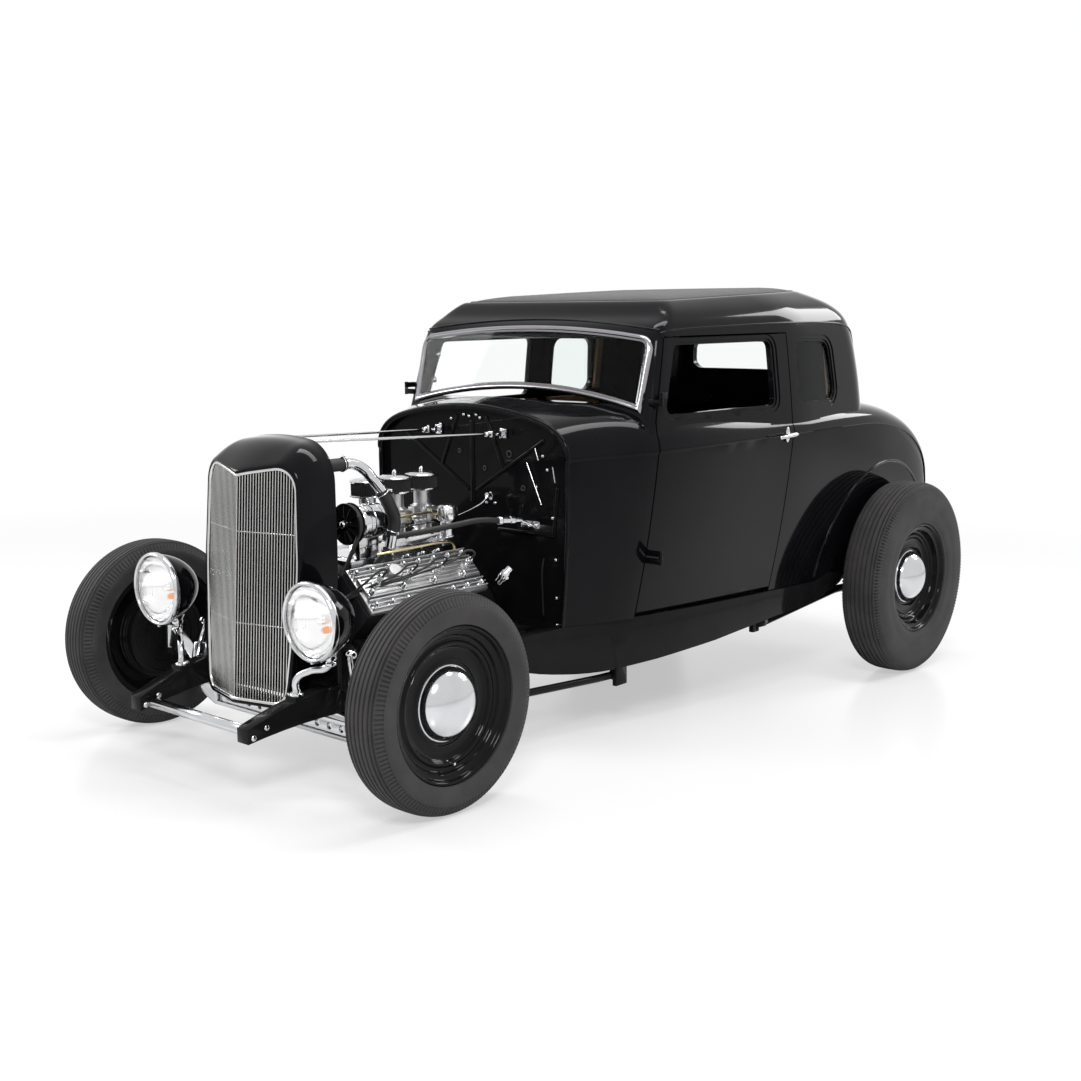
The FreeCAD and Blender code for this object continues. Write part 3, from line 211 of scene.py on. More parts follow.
@dataclass(frozen=True)
class Finish:
    """What every finish has: its name, and the slot that it fills."""

    name: str
    slot: str

    def tint(self, share: float, lift: float = 0.0) -> Point:
        """The finish's colour, made darker or paler."""
        return tuple(channel * share + lift for channel in self.colour)


@dataclass(frozen=True)
class Lacquer(Finish):
    """Stoved paint under a clear coat, with faint dust and a trace of orange peel."""

    colour: Point = (0.0022, 0.0022, 0.0030)
    sheen: Sheen = Sheen.GLOSS
    coat: float = 1.0
    peel: float = 0.012

    def make(self) -> bpy.types.Material:
        """Build the paint's nodes.

        Returns:
            The material.
        """
        graph = Graph(self.name)
        dust = graph.noise(9, 4)
        specks = graph.noise(340, 2).over(0.72, 0.05)
        graph.set(Base_Color=graph.blend(dust.over(0.5, 0.35) * 0.6 + specks * 0.2, self.colour,
            self.tint(1.9, 0.002)), Roughness=dust * 0.05 + self.sheen.value, Coat_Weight=self.coat,
            Coat_Roughness=0.02, Coat_IOR=1.16, Specular_IOR_Level=0.03)
        graph.bump(graph.noise(210, 2), self.peel, 0.001)
        return graph.owner


@dataclass(frozen=True)
class BrightMetal(Finish):
    """Polished, plated or brushed metal."""

    colour: Point = (0.60, 0.605, 0.62)
    sheen: Sheen = Sheen.MIRROR
    brushed: Point = (1.0, 1.0, 1.0)
    grain: float = 0.03

    def make(self) -> bpy.types.Material:
        """Build the metal's nodes.

        Returns:
            The material.
        """
        graph = Graph(self.name)
        streaks = graph.noise(60, 4, self.brushed)
        haze = graph.noise(14, 3)
        graph.set(Base_Color=graph.blend(haze.over(0.62, 0.2) * 0.5, self.colour, self.tint(0.78)),
            Metallic=1, Roughness=streaks * 0.12 + haze * 0.05 + self.sheen.value)
        graph.bump(streaks, self.grain, 0.0006)
        return graph.owner


@dataclass(frozen=True)
class CastMetal(Finish):
    """Sand-cast aluminium or iron with a fine pebbled skin."""

    colour: Point = (0.55, 0.55, 0.56)
    metal: float = 1.0
    rough: float = 0.38

    def make(self) -> bpy.types.Material:
        """Build the casting's nodes.

        Returns:
            The material.
        """
        graph = Graph(self.name)
        pebbles, stain = graph.noise(420, 3), graph.noise(16, 4)
        graph.set(Base_Color=graph.blend(stain.over(0.55, 0.2) * 0.7, self.colour, self.tint(0.55)),
            Metallic=self.metal, Roughness=stain * 0.2 + self.rough)
        graph.bump(pebbles, 0.12, 0.0008)
        return graph.owner


@dataclass(frozen=True)
class Rubber(Finish):
    """Dry moulded rubber, browned a little with age and dust in its grain."""

    colour: Point = (0.020, 0.019, 0.0195)
    dusty: Point = (0.046, 0.043, 0.0435)
    rough: float = 0.62

    def make(self) -> bpy.types.Material:
        """Build the rubber's nodes.

        Returns:
            The material.
        """
        graph = Graph(self.name)
        cloud, grain = graph.noise(11, 5), graph.noise(900, 2)
        graph.set(Base_Color=graph.blend(cloud.over(0.52, 0.22) * 0.75 + grain * 0.15, self.colour,
            self.dusty), Roughness=cloud * 0.15 + self.rough, Specular_IOR_Level=0.35)
        graph.bump(grain, 0.1, 0.0006)
        return graph.owner


@dataclass(frozen=True)
class Cloth(Finish):
    """Woven top cloth: two crossing sets of threads."""

    colour: Point = (0.012, 0.012, 0.0125)
    thread: float = 900.0

    def make(self) -> bpy.types.Material:
        """Build the weave's nodes.

        Returns:
            The material.
        """
        graph = Graph(self.name)
        waves = [graph.add("ShaderNodeTexWave", {"bands_direction": axis}, {"Vector": graph.space,
            "Scale": self.thread / 6.283, "Distortion": 0.4}, "Fac") for axis in ("X", "Y")]
        weave, wear = waves[0] * waves[1], graph.noise(7, 4)
        graph.set(Base_Color=graph.blend(weave * 0.5 + wear * 0.3, self.colour, self.tint(2.6)),
            Roughness=wear * 0.1 + 0.82, Sheen_Weight=0.25, Specular_IOR_Level=0.2)
        graph.bump(weave, 0.25, 0.0004)
        return graph.owner


@dataclass(frozen=True)
class Hide(Finish):
    """Seat leather with creases and a soft grain."""

    colour: Point = (0.20, 0.075, 0.045)

    def make(self) -> bpy.types.Material:
        """Build the leather's nodes.

        Returns:
            The material.
        """
        graph = Graph(self.name)
        cells = graph.add("ShaderNodeTexVoronoi", {"feature": "DISTANCE_TO_EDGE"}, {"Vector": graph.space,
            "Scale": 260}, "Distance")
        tone = graph.noise(8, 4)
        graph.set(Base_Color=graph.blend(tone.over(0.5, 0.3), self.colour, self.tint(0.45)),
            Roughness=tone * 0.2 + 0.38)
        graph.bump(cells.over(0.12, 0.1), 0.2, 0.0006)
        return graph.owner


@dataclass(frozen=True)
class Timber(Finish):
    """Plain varnished wood with its grain along the car."""

    colour: Point = (0.21, 0.105, 0.045)

    def make(self) -> bpy.types.Material:
        """Build the wood's nodes.

        Returns:
            The material.
        """
        graph = Graph(self.name)
        grain = graph.noise(34, 6, (6, 0.35, 6))
        graph.set(Base_Color=graph.blend(grain.over(0.5, 0.22), self.colour, self.tint(0.42)),
            Roughness=grain * 0.2 + 0.35, Coat_Weight=0.25)
        graph.bump(grain, 0.08, 0.0006)
        return graph.owner


@dataclass(frozen=True)
class Pane(Finish):
    """Glass, clear or tinted; flutes run down a lamp lens."""

    colour: Point = (0.93, 0.96, 0.95)
    flutes: float = 0.0
    rough: float = 0.0
    bend: float = 1.12

    def make(self) -> bpy.types.Material:
        """Build the glass's nodes.

        Returns:
            The material.
        """
        graph = Graph(self.name)
        film = graph.noise(6, 3)
        graph.set(Base_Color=self.colour, Transmission_Weight=1, IOR=self.bend, Roughness=film * 0.02
            + self.rough)
        if self.flutes:
            ribs = graph.add("ShaderNodeTexWave", {"bands_direction": "X"}, {"Vector": graph.space,
                "Scale": self.flutes / 6.283}, "Fac")
            graph.bump(ribs, 0.15, 0.002)
        return graph.owner


BODY_BLACK = Lacquer("body_black", "body_paint")
FRAME_BLACK = Lacquer("frame_black", "chassis_paint", (0.006, 0.006, 0.0065), Sheen.GLOSS, 0.6)
AXLE_BLACK = Lacquer("axle_black", "axle_steel", (0.008, 0.008, 0.008), Sheen.SATIN, 0.2)
WHEEL_BLACK = Lacquer("wheel_black", "wheel_paint", (0.004, 0.004, 0.0045))
ENGINE_BLACK = Lacquer("engine_black", "engine_paint", (0.008, 0.008, 0.009), Sheen.SATIN, 0.4, 0.05)
CABIN_BLACK = Lacquer("cabin_black", "interior", (0.008, 0.008, 0.008), Sheen.DULL, 0, 0.05)
PIPE_BLACK = Lacquer("pipe_black", "exhaust_steel", (0.01, 0.01, 0.011), Sheen.SATIN, 0.1, 0.04)
CHROME = BrightMetal("chrome", "chrome")
MOULDING = BrightMetal("moulding_chrome", "chrome", (0.33, 0.32, 0.335))
REFLECTOR = BrightMetal("lamp_silver", "chrome", (0.97, 0.97, 0.97))
STAINLESS = BrightMetal("stainless", "bright_bars", (0.63, 0.63, 0.62), Sheen.GLOSS, (1, 1, 0.08), 0.04)
POLISHED = BrightMetal("polished_alloy", "manifold", (0.74, 0.745, 0.76), Sheen.GLOSS, (1, 1, 1), 0.05)
BRUSHED = CastMetal("finned_alloy", "finned_heads", (0.5, 0.5, 0.505), 1, 0.24)
BRASS = BrightMetal("brass", "manifold", (0.66, 0.56, 0.33), Sheen.GLOSS)
TYRE = Rubber("tyre_rubber", "tyre_rubber")
HOSE = Rubber("hose_rubber", "hose", (0.008, 0.008, 0.008), (0.02, 0.02, 0.02), 0.42)
PLEATS = Rubber("filter_paper", "manifold", (0.012, 0.012, 0.012), (0.03, 0.03, 0.03), 0.8)
RED_WIRE = Rubber("lead_cover", "hose", (0.01, 0.01, 0.01), (0.03, 0.028, 0.026), 0.4)
TOP_CLOTH = Cloth("top_cloth", "roof_fabric")
SEAT_HIDE = Hide("seat_hide", "seat_leather")
BELT_WOOD = Timber("belt_wood", "seat_leather", (0.4, 0.23, 0.11))
CLEAR = Pane("clear_glass", "window_glass")
LENS = Pane("fluted_glass", "lamp_glass", (1, 1, 1), 400)
AMBER = Pane("amber_glass", "lamp_glass", (0.95, 0.46, 0.24), 0, 0.2)
RUBY = Pane("ruby_glass", "tail_glass", (0.5, 0.01, 0.01), 300, 0.1)
RIM_BLACK = Lacquer("rim_black", "wheel_rim", (0.006, 0.006, 0.006))
WALL_BLACK = Lacquer("wall_black", "body_paint", (0.003, 0.003, 0.0035), Sheen.GLOSS, 0.5)
WELT = Rubber("roof_welt", "roof_fabric", (0.008, 0.008, 0.008), (0.016, 0.016, 0.017), 0.5)


# ---------------------------------------------------------------- bench

MADE: dict[str, bpy.types.Material] = {}


def material(finish: Finish) -> bpy.types.Material:
    """A finish's material, made the first time it is asked for."""
    if finish.name not in MADE:
        MADE[finish.name] = finish.make()
    return MADE[finish.name]


def pick(*pieces: Piece) -> None:
    """Select these pieces alone; the first is active."""
    if bpy.context.object and bpy.context.object.mode != "OBJECT":
        bpy.ops.object.mode_set(mode="OBJECT")
    bpy.ops.object.select_all(action="DESELECT")
    for piece in pieces:
        piece.select_set(True)
    if pieces:
        bpy.context.view_layer.objects.active = pieces[0]


def meshed(points: Sequence[Sequence[float]], faces: Sequence[Sequence[int]] = (),
        edges: Sequence[Pair] = ()) -> Piece:
    """A piece from its corners and faces.

    Args:
        points: Corners.
        faces: Corner numbers of each face.
        edges: Corner numbers of loose edges.

    Returns:
        The new piece.
    """
    mesh = bpy.data.meshes.new("part")
    mesh.from_pydata([tuple(point) for point in points], edges, faces)
    mesh.update()
    piece = bpy.data.objects.new("part", mesh)
    bpy.context.scene.collection.objects.link(piece)
    return piece


def settle(piece: Piece) -> Piece:
    """Put a piece's place into its mesh."""
    pick(piece)
    bpy.ops.object.transform_apply(location=True, rotation=True, scale=True)
    return piece


def edited(piece: Piece, **operations: dict[str, object]) -> Piece:
    """Run mesh operations, each named with its settings, on all of a piece.

    Args:
        piece: The piece.
        operations: Operators' names and their settings.

    Returns:
        The same piece.
    """
    pick(piece)
    bpy.ops.object.mode_set(mode="EDIT")
    bpy.ops.mesh.select_all(action="SELECT")
    for name, settings in operations.items():
        getattr(bpy.ops.mesh, name)(**settings)
    bpy.ops.object.mode_set(mode="OBJECT")
    return piece


def outward(piece: Piece, weld: float = 0.01) -> Piece:
    """Merge doubles and turn all faces outwards."""
    return edited(piece, remove_doubles={"threshold": weld}, normals_make_consistent={"inside": False})


def changed(piece: Piece, kind: str, **settings: object) -> Piece:
    """Add a modifier and apply it.

    Args:
        piece: The piece to change.
        kind: Modifier type.
        **settings: The modifier's properties.

    Returns:
        The same piece.
    """
    pick(piece)
    modifier = piece.modifiers.new(kind.lower(), kind)
    for key, setting in settings.items():
        setattr(modifier, key, setting)
    bpy.ops.object.modifier_apply(modifier=modifier.name)
    return piece


def cut(piece: Piece, tool: Piece, operation: str = "DIFFERENCE") -> Piece:
    """Cut, join or intersect a piece with a tool, which is used up."""
    changed(piece, "BOOLEAN", operation=operation, object=tool, solver="EXACT")
    bpy.data.objects.remove(tool)
    return piece


def moved(piece: Piece, matrix: Matrix) -> Piece:
    """The piece itself, moved by a matrix; where that mirrors it, it is turned right side out."""
    piece.data.transform(matrix)
    if matrix.determinant() < 0:
        piece.data.flip_normals()
    return piece


def copied(piece: Piece, matrix: Matrix = Matrix()) -> Piece:
    """A copy with its own mesh, moved by a matrix."""
    twin = piece.copy()
    twin.data = piece.data.copy()
    bpy.context.scene.collection.objects.link(twin)
    return moved(twin, matrix)


def joined(pieces: Sequence[Piece]) -> Piece:
    """Several pieces as one mesh."""
    pick(*pieces)
    if len(pieces) > 1:
        bpy.ops.object.join()
    return pieces[0]


def block(low: Point, high: Point, bevel: float = 0.0, segments: int = 2) -> Piece:
    """A box between two opposite corners, its edges broken.

    Args:
        low: One corner.
        high: The corner across from it.
        bevel: Width of the broken edges.
        segments: Steps in each broken edge.

    Returns:
        The new piece.
    """
    middle = [(a + b) / 2 for a, b in zip(low, high)]
    bpy.ops.mesh.primitive_cube_add(size=1, location=middle, scale=[abs(b - a) for a, b in zip(low, high)])
    piece = settle(bpy.context.object)
    if bevel:
        edited(piece, bevel={"offset": bevel, "segments": segments, "affect": "EDGES"})
    return piece


def aim(start: Point, direction: Point) -> Matrix:
    """Matrix that lays the X axis along a direction from a start."""
    turn = Vector(LEFT).rotation_difference(Vector(direction).normalized())
    return Matrix.Translation(start) @ turn.to_matrix().to_4x4()


def spun(profile: Sequence[Pair], start: Point = (0, 0, 0), direction: Point = LEFT,
        steps: int = 64) -> Piece:
    """A turned piece: its profile spun about an axis.

    Args:
        profile: (along, radius) corners.
        start: Foot of the axis.
        direction: Direction of the axis.
        steps: Steps round the turn.

    Returns:
        The new piece.
    """
    piece = meshed([(along, 0, max(radius, 0)) for along, radius in profile], edges=[(i, i + 1)
        for i in range(len(profile) - 1)])
    edited(piece, spin={"steps": steps, "angle": tau, "center": (0, 0, 0), "axis": LEFT})
    return moved(outward(piece, 0.005), aim(start, direction))


def bar(start: Point, end: Point, radius: float) -> Piece:
    """Round bar with softened ends.

    Args:
        start: Middle of one end.
        end: Middle of the other.
        radius: Its radius.

    Returns:
        The new piece.
    """
    run = Vector(end) - Vector(start)
    soft = min(radius, run.length) * 0.12
    profile = [(0, 0), (0, radius - soft), (soft, radius), (run.length - soft, radius),
        (run.length, radius - soft), (run.length, 0)]
    return spun(profile, start, tuple(run), 24)


def rope(points: Sequence[Sequence[float]], radius: float, closed: bool = False, smooth: bool = True,
        rings: int = 6) -> Piece:
    """A bead, wire or hose along a line.

    Args:
        points: The line.
        radius: Its radius.
        closed: True where the line closes on itself.
        smooth: True for a curve through the points.
        rings: Faces round a quarter and a bit of the bead.

    Returns:
        The new mesh.
    """
    curve = bpy.data.curves.new("line", "CURVE")
    curve.dimensions, curve.bevel_depth, curve.bevel_resolution = "3D", radius, max(rings // 2, 1)
    curve.use_fill_caps = not closed
    spline = curve.splines.new("BEZIER" if smooth else "POLY")
    knots = spline.bezier_points if smooth else spline.points
    knots.add(len(points) - 1)
    for knot, point in zip(knots, points):
        knot.co = point if smooth else (*point, 1)
        if smooth:
            knot.handle_left_type = knot.handle_right_type = "AUTO"
    if smooth:
        curve.resolution_u = 8
    spline.use_cyclic_u = closed
    piece = bpy.data.objects.new("line", curve)
    bpy.context.scene.collection.objects.link(piece)
    pick(piece)
    bpy.ops.object.convert(target="MESH")
    return bpy.context.object


def hexagon(place: Point, direction: Point, across: float, tall: float, dome: float = 0.0) -> Piece:
    """A nut or bolt head, with a domed cap where one is wanted.

    Args:
        place: Middle of its foot.
        direction: Way that it points.
        across: Width over its flats.
        tall: Its height.
        dome: Height of the cap.

    Returns:
        The new piece.
    """
    bpy.ops.mesh.primitive_cylinder_add(vertices=6, radius=across / 1.732, depth=tall,
        location=(0, 0, tall / 2))
    piece = settle(bpy.context.object)
    edited(piece, bevel={"offset": across * 0.06, "segments": 1, "affect": "EDGES"})
    piece.data.transform(Matrix.Rotation(pi / 2, 4, "Y"))
    if dome:
        radius = across * 0.46
        cap = [(tall + dome * sin(a), radius * cos(a)) for a in (0, 0.4, 0.8, 1.15, pi / 2)]
        piece = joined([piece, spun([(tall * 0.8, radius)] + cap, steps=12)])
    return moved(piece, aim(place, direction))


def both(piece: Piece) -> Piece:
    """A piece joined with its twin on the other side."""
    return joined([piece, copied(piece, MIRROR)])


def around(count: int, radius: float, start: float = 0.0) -> list[Pair]:
    """Places spread evenly round a circle, as (across, up)."""
    turns = [start + tau * i / count for i in range(count)]
    return [(radius * cos(turn), radius * sin(turn)) for turn in turns]


def ring(place: Point, direction: Point, radius: float) -> list[Point]:
    """A ring of points round a direction."""
    turn = aim(place, direction)
    return [tuple(turn @ Vector((0, across, up))) for across, up in around(40, radius)]


def spread(low: float, high: float, count: int) -> list[float]:
    """Places spread evenly from one to another."""
    return [low + (high - low) * i / (count - 1) for i in range(count)]


def fit(name: str, pieces: Sequence[Piece], finish: Finish, body: str = "chassis",
        matrix: Optional[Matrix] = SPRUNG, replaces: Sequence[str] = (), angle: float = 30.0,
        twin: bool = False) -> Piece:
    """Fit a finished piece to the car.

    Args:
        name: Its name.
        pieces: The parts that it is joined from.
        finish: Its finish.
        body: The moving body that it rides on.
        matrix: Where its millimetres stand; None where it is already in place.
        replaces: The frame's nodes that it stands for.
        angle: Edges sharper than this many degrees stay sharp.
        twin: True where the other side has the same.

    Returns:
        The joined piece.
    """
    piece = both(joined(pieces)) if twin else joined(pieces)
    piece.name = piece.data.name = name
    if matrix is not None:
        piece.data.transform(matrix)
    pick(piece)
    bpy.ops.object.shade_smooth_by_angle(angle=radians(angle))
    piece.data.materials.clear()
    piece.data.materials.append(material(finish))
    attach(piece, body)
    if replaces:
        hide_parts(*replaces)
    log.info("%s: %d faces on %s", name, len(piece.data.polygons), body)
    return piece


def smoothed(node: str, finish: Finish, body: str = "chassis", angle: float = 32.0,
        bevel: float = 0.0) -> Piece:
    """A merged, smooth copy of a frame node that stands for it.

    Args:
        node: The node.
        finish: Its finish.
        body: The body that it rides on.
        angle: Edges sharper than this many degrees stay sharp.
        bevel: Width in metres to break its sharp edges by.

    Returns:
        The copy.
    """
    piece = copied(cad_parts[node])
    piece.parent = None
    for key in [key for key in piece.keys() if key.startswith("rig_")]:
        del piece[key]
    edited(piece, remove_doubles={"threshold": 0.00002})
    if bevel:
        changed(piece, "BEVEL", width=bevel, segments=2, limit_method="ANGLE", angle_limit=radians(40))
    return fit(node + "_dress", [piece], finish, body, None, (node,), angle)


def plain(nodes: Sequence[str], finish: Finish) -> None:
    """Give frame nodes that stay as they are their finish."""
    for node in nodes:
        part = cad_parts[node]
        part.data.materials.clear()
        part.data.materials.append(material(finish))


# ---------------------------------------------------------------- body skin

def arc(first: Pair, middle: Pair, last: Pair, count: int) -> list[Pair]:
    """Points along the arc through three points, the last one left out.

    Args:
        first: Its start.
        middle: A point on its way.
        last: Its end.
        count: Number of points.

    Returns:
        The points.
    """
    (ax, ay), (bx, by), (cx, cy) = first, middle, last
    d = 2 * (ax * (by - cy) + bx * (cy - ay) + cx * (ay - by))
    ux = ((ax**2 + ay**2) * (by - cy) + (bx**2 + by**2) * (cy - ay) + (cx**2 + cy**2) * (ay - by)) / d
    uy = ((ax**2 + ay**2) * (cx - bx) + (bx**2 + by**2) * (ax - cx) + (cx**2 + cy**2) * (bx - ax)) / d
    radius = hypot(ax - ux, ay - uy)
    start, end = atan2(ay - uy, ax - ux), atan2(cy - uy, cx - ux)
    through = atan2(by - uy, bx - ux)
    span = (end - start) % tau
    if (through - start) % tau > span:
        span -= tau
    return [(ux + radius * cos(start + span * i / count), uy + radius * sin(start + span * i / count))
        for i in range(count)]


def bezier(p0: Pair, p1: Pair, p2: Pair, p3: Pair, count: int) -> list[Pair]:
    """Points along a cubic curve, the last one left out.

    Args:
        p0: Its start.
        p1: The start's handle.
        p2: The end's handle.
        p3: Its end.
        count: Number of points.

    Returns:
        The points.
    """
    line = []
    for t in (i / count for i in range(count)):
        shares = (1 - t) ** 3, 3 * t * (1 - t) ** 2, 3 * t * t * (1 - t), t**3
        line.append(tuple(sum(share * knot for share, knot in zip(shares, row))
            for row in zip(p0, p1, p2, p3)))
    return line


def hermite(rows: Sequence[Sequence[float]], at: float) -> list[float]:
    """A row of numbers between rows, on a smooth curve; each row starts with its place.

    Args:
        rows: Rows in order of their place.
        at: The wanted place.

    Returns:
        The row there.
    """
    last = len(rows) - 2
    i = max(0, min(last, sum(1 for row in rows[1:] if row[0] <= at)))
    before, here, after, beyond = rows[max(i - 1, 0)], rows[i], rows[i + 1], rows[min(i + 2, len(rows) - 1)]
    step = after[0] - here[0]
    t = max(0, min(1, (at - here[0]) / step))
    blend = [at]
    for a, b, c, d in list(zip(before, here, after, beyond))[1:]:
        low = (c - a) / (after[0] - before[0]) * step
        high = (d - b) / (beyond[0] - here[0]) * step
        blend.append(b + t * (low + t * (-2 * low - high + 3 * (c - b) + t * (low + high - 2 * (c - b)))))
    return blend


def walls(rows: int, size: int, ring: bool = False) -> list[tuple[int, ...]]:
    """Faces between rows of points; in a ring the last row joins the first.

    Args:
        rows: Number of rows.
        size: Points in a row.
        ring: True for a ring.

    Returns:
        Corner numbers of each face.
    """
    faces = []
    for i in range(rows - (0 if ring else 1)):
        here, after = i * size, (i + 1) % rows * size
        faces += [(here + j, here + (j + 1) % size, after + (j + 1) % size, after + j) for j in range(size)]
    return faces


def lofted(loops: Sequence[Sequence[Point]], ring: bool = False) -> Piece:
    """A closed solid over loops that have equally many points.

    Args:
        loops: The loops in order.
        ring: True where the last loop joins the first; otherwise both ends are capped.

    Returns:
        The new piece.
    """
    rows, size = len(loops), len(loops[0])
    faces = walls(rows, size, ring)
    if not ring:
        faces += [tuple(range(size)), tuple(reversed(range((rows - 1) * size, rows * size)))]
    return outward(meshed([point for loop in loops for point in loop], faces))


def between(rows: Sequence[Sequence[Point]], stop: float) -> list[Point]:
    """The loop that lies at a place among rows of loops, on a smooth curve through them."""
    flat = hermite([(float(i), *[value for point in row for value in point]) for i, row in enumerate(rows)],
        stop)[1:]
    return [tuple(flat[i:i + 3]) for i in range(0, len(flat), 3)]


def rounded(corners: Sequence[Sequence[float]], steps: Sequence[int] = (6,), runs: Sequence[int] = (1,)
        ) -> list[Pair]:
    """Closed outline with round corners; one count for all corners or straights is enough.

    Args:
        corners: (across, up, radius) of each corner.
        steps: Points round each corner.
        runs: Points along each straight.

    Returns:
        The outline.
    """
    count, ends, line = len(corners), [], []
    for i, (x, y, radius) in enumerate(corners):
        here = Vector((x, y))
        back = (Vector(corners[i - 1][:2]) - here).normalized()
        ahead = (Vector(corners[(i + 1) % count][:2]) - here).normalized()
        half_turn = back.angle(ahead) / 2
        reach = radius / tan(half_turn)
        middle = here + (back + ahead).normalized() * (radius / sin(half_turn) - radius)
        ends.append((here + back * reach, middle, here + ahead * reach))
    for i, (start, middle, end) in enumerate(ends):
        line += arc(tuple(start), tuple(middle), tuple(end), steps[i % len(steps)])
        run = runs[i % len(runs)]
        line += [tuple(end.lerp(ends[(i + 1) % count][0], j / run)) for j in range(run)]
    return line


def prism(outline: Sequence[Point], run: Point) -> Piece:
    """A flat outline pushed along a run."""
    count = len(outline)
    far = [tuple(a + b for a, b in zip(point, run)) for point in outline]
    caps = [tuple(range(count)), tuple(reversed(range(count, 2 * count)))]
    return outward(meshed([*outline, *far], caps + walls(2, count)))


@dataclass
class Skin:
    """Shape of the body's skin in millimetres, in the leaning frame."""

    stations: tuple[tuple[float, ...], ...] = ((850, 425, 454, 892, 315, 1026, 1064),
        (1145, 500, 603, 905, 500, 1040, 1092), (1925, 548, 648, 915, 560, 1000, 1016),
        (2300, 560, 650, 918, 566, 1000, 1016), (2600, 566, 642, 908, 530, 992, 1012),
        (2840, 564, 622, 862, 480, 950, 972), (3010, 558, 602, 790, 450, 872, 892), (3130, 550, 580, 690, 430,
        762, 780), (3190, 545, 560, 560, 420, 640, 656))
    levels: tuple[tuple[float, ...], ...] = ((930, 0, 596, 650, 2000, 630, 2552, 130),
        (1130, 0, 580, 630, 2000, 612, 2550, 150), (1297, 8, 563, 606, 2000, 586, 2525, 170),
        (1362, 20, 540, 575, 1950, 552, 2450, 180), (1403, 33, 492, 520, 1900, 484, 2290, 150))
    front: float = 850.0
    tail: float = 3190.0
    bead: float = 5.0

    @staticmethod
    def sill(y: float) -> float:
        """Height of the skin's lower edge."""
        return 338 - 40 * (y - 850) / 1400

    def wall(self, y: float) -> float:
        """Thickness of the wall, thin at the cowl's rim."""
        return 15 + 29 * max(0, min(1, (y - 900) / 220))

    def section(self, y: float, inset: float) -> list[Pair]:
        """Half a section from the sill to the middle of the crown, as (x, z).

        Args:
            y: Station.
            inset: Distance inside the outer skin, nought for the skin itself.

        Returns:
            Points, the crown's middle last.
        """
        _, low, belt, belt_up, top, top_up, crown = hermite(self.stations, min(max(y, self.front), self.tail))
        bottom = self.sill(y) - (60 if inset else 0)
        step = 0 if inset else self.bead
        low, belt, top = low - inset, belt - inset, top - inset * 0.8
        top_up, crown = top_up - inset * 0.8, crown - inset
        round_off = y - (self.tail - 22)
        if round_off > 0 and not inset:
            shrink = 22 * (1 - sqrt(max(0, 1 - (round_off / 22) ** 2)))
            low, belt, top, crown, top_up = (value - shrink for value in (low, belt, top, crown, top_up))
            bottom += shrink * 0.5
        side = arc((low, bottom), ((low + belt) / 2 + 9, (bottom + belt_up) / 2), (belt, belt_up), 16)
        rise = crown - top_up
        radius = (top * top + rise * rise) / (2 * rise)
        slope = asin(min(1, top / radius))
        near, far = 0.56 * (top_up - belt_up), 0.56 * (belt - top)
        start = (belt + step, belt_up + step * 0.6)
        turn = bezier(start, (start[0] + 1, start[1] + near), (top + far * cos(slope), top_up
            - far * sin(slope)), (top, top_up), 14)
        lip = [(belt, belt_up), (belt + step * 0.75, belt_up + step * 0.12)] if step else []
        over = arc((top, top_up), (top / 2, crown - (radius - sqrt(radius**2 - (top / 2) ** 2))), (0, crown),
            12)
        return side + lip + turn + over + [(0, crown)]

    def lower(self, inner: bool) -> Piece:
        """Closed solid of the lower body, or of the room inside it.

        Args:
            inner: True for the room.

        Returns:
            The solid.
        """
        rear = self.tail - (44 if inner else 0)
        start = self.front - (40 if inner else 0)
        stops = [start + (rear - 24 - start) * i / 100 for i in range(100)]
        stops += [rear - 24 * (1 - sin(i * pi / 16)) for i in range(9)]
        loops = []
        for y in stops:
            half = self.section(y, self.wall(y) if inner else 0)
            loops.append([(x, y, z) for x, z in half] + [(-x, y, z) for x, z in reversed(half[:-1])])
        return lofted(loops)

    @staticmethod
    def pillar(z: float) -> float:
        """Fore and aft place of the windshield pillars at a height."""
        return 1098 + tan(radians(14.84)) * (z - 930) + max(z - 1297, 0) * 0.9

    def outline(self, row: Sequence[float], inset: float, lift: float = 0.0) -> list[Point]:
        """Outline round the upper body at one level.

        Args:
            row: One row of the levels' table.
            inset: Distance inside it.
            lift: Height added.

        Returns:
            Points round the outline, always as many.
        """
        height, rise, front, wide, wide_at, rear, rear_at, turn = row
        half = [(front - inset, self.pillar(height) + inset, 36), (wide - inset, wide_at, 1800),
            (rear - inset, rear_at - inset, max(turn - inset, 40))]
        corners = half + [(0, rear_at - inset + 34, 900)] + [(-x, y, radius)
            for x, y, radius in reversed(half)]
        loop = rounded(corners, (6, 10, 12, 10, 12, 10, 6), (22, 16, 6, 6, 16, 22, 24))
        slope = rise / 925
        sink = inset * 0.9 if rise > 8 else 0
        return [(x, y, height - sink + lift + slope * (y - 1185)) for x, y in loop]

    def upper(self, inset: float) -> Piece:
        """Closed solid of the upper body, or of what lies that far inside it."""
        rows = [self.outline(row, inset) for row in self.levels]
        lids = [(60, 4)] if inset else [(26, 3), (60, 9), (130, 17), (230, 24)]
        rows += [self.outline(self.levels[-1], inset + more, lift + more * 0.9) for more, lift in lids]
        return lofted([between(rows, i / 6) for i in range(6 * (len(rows) - 1) + 1)])


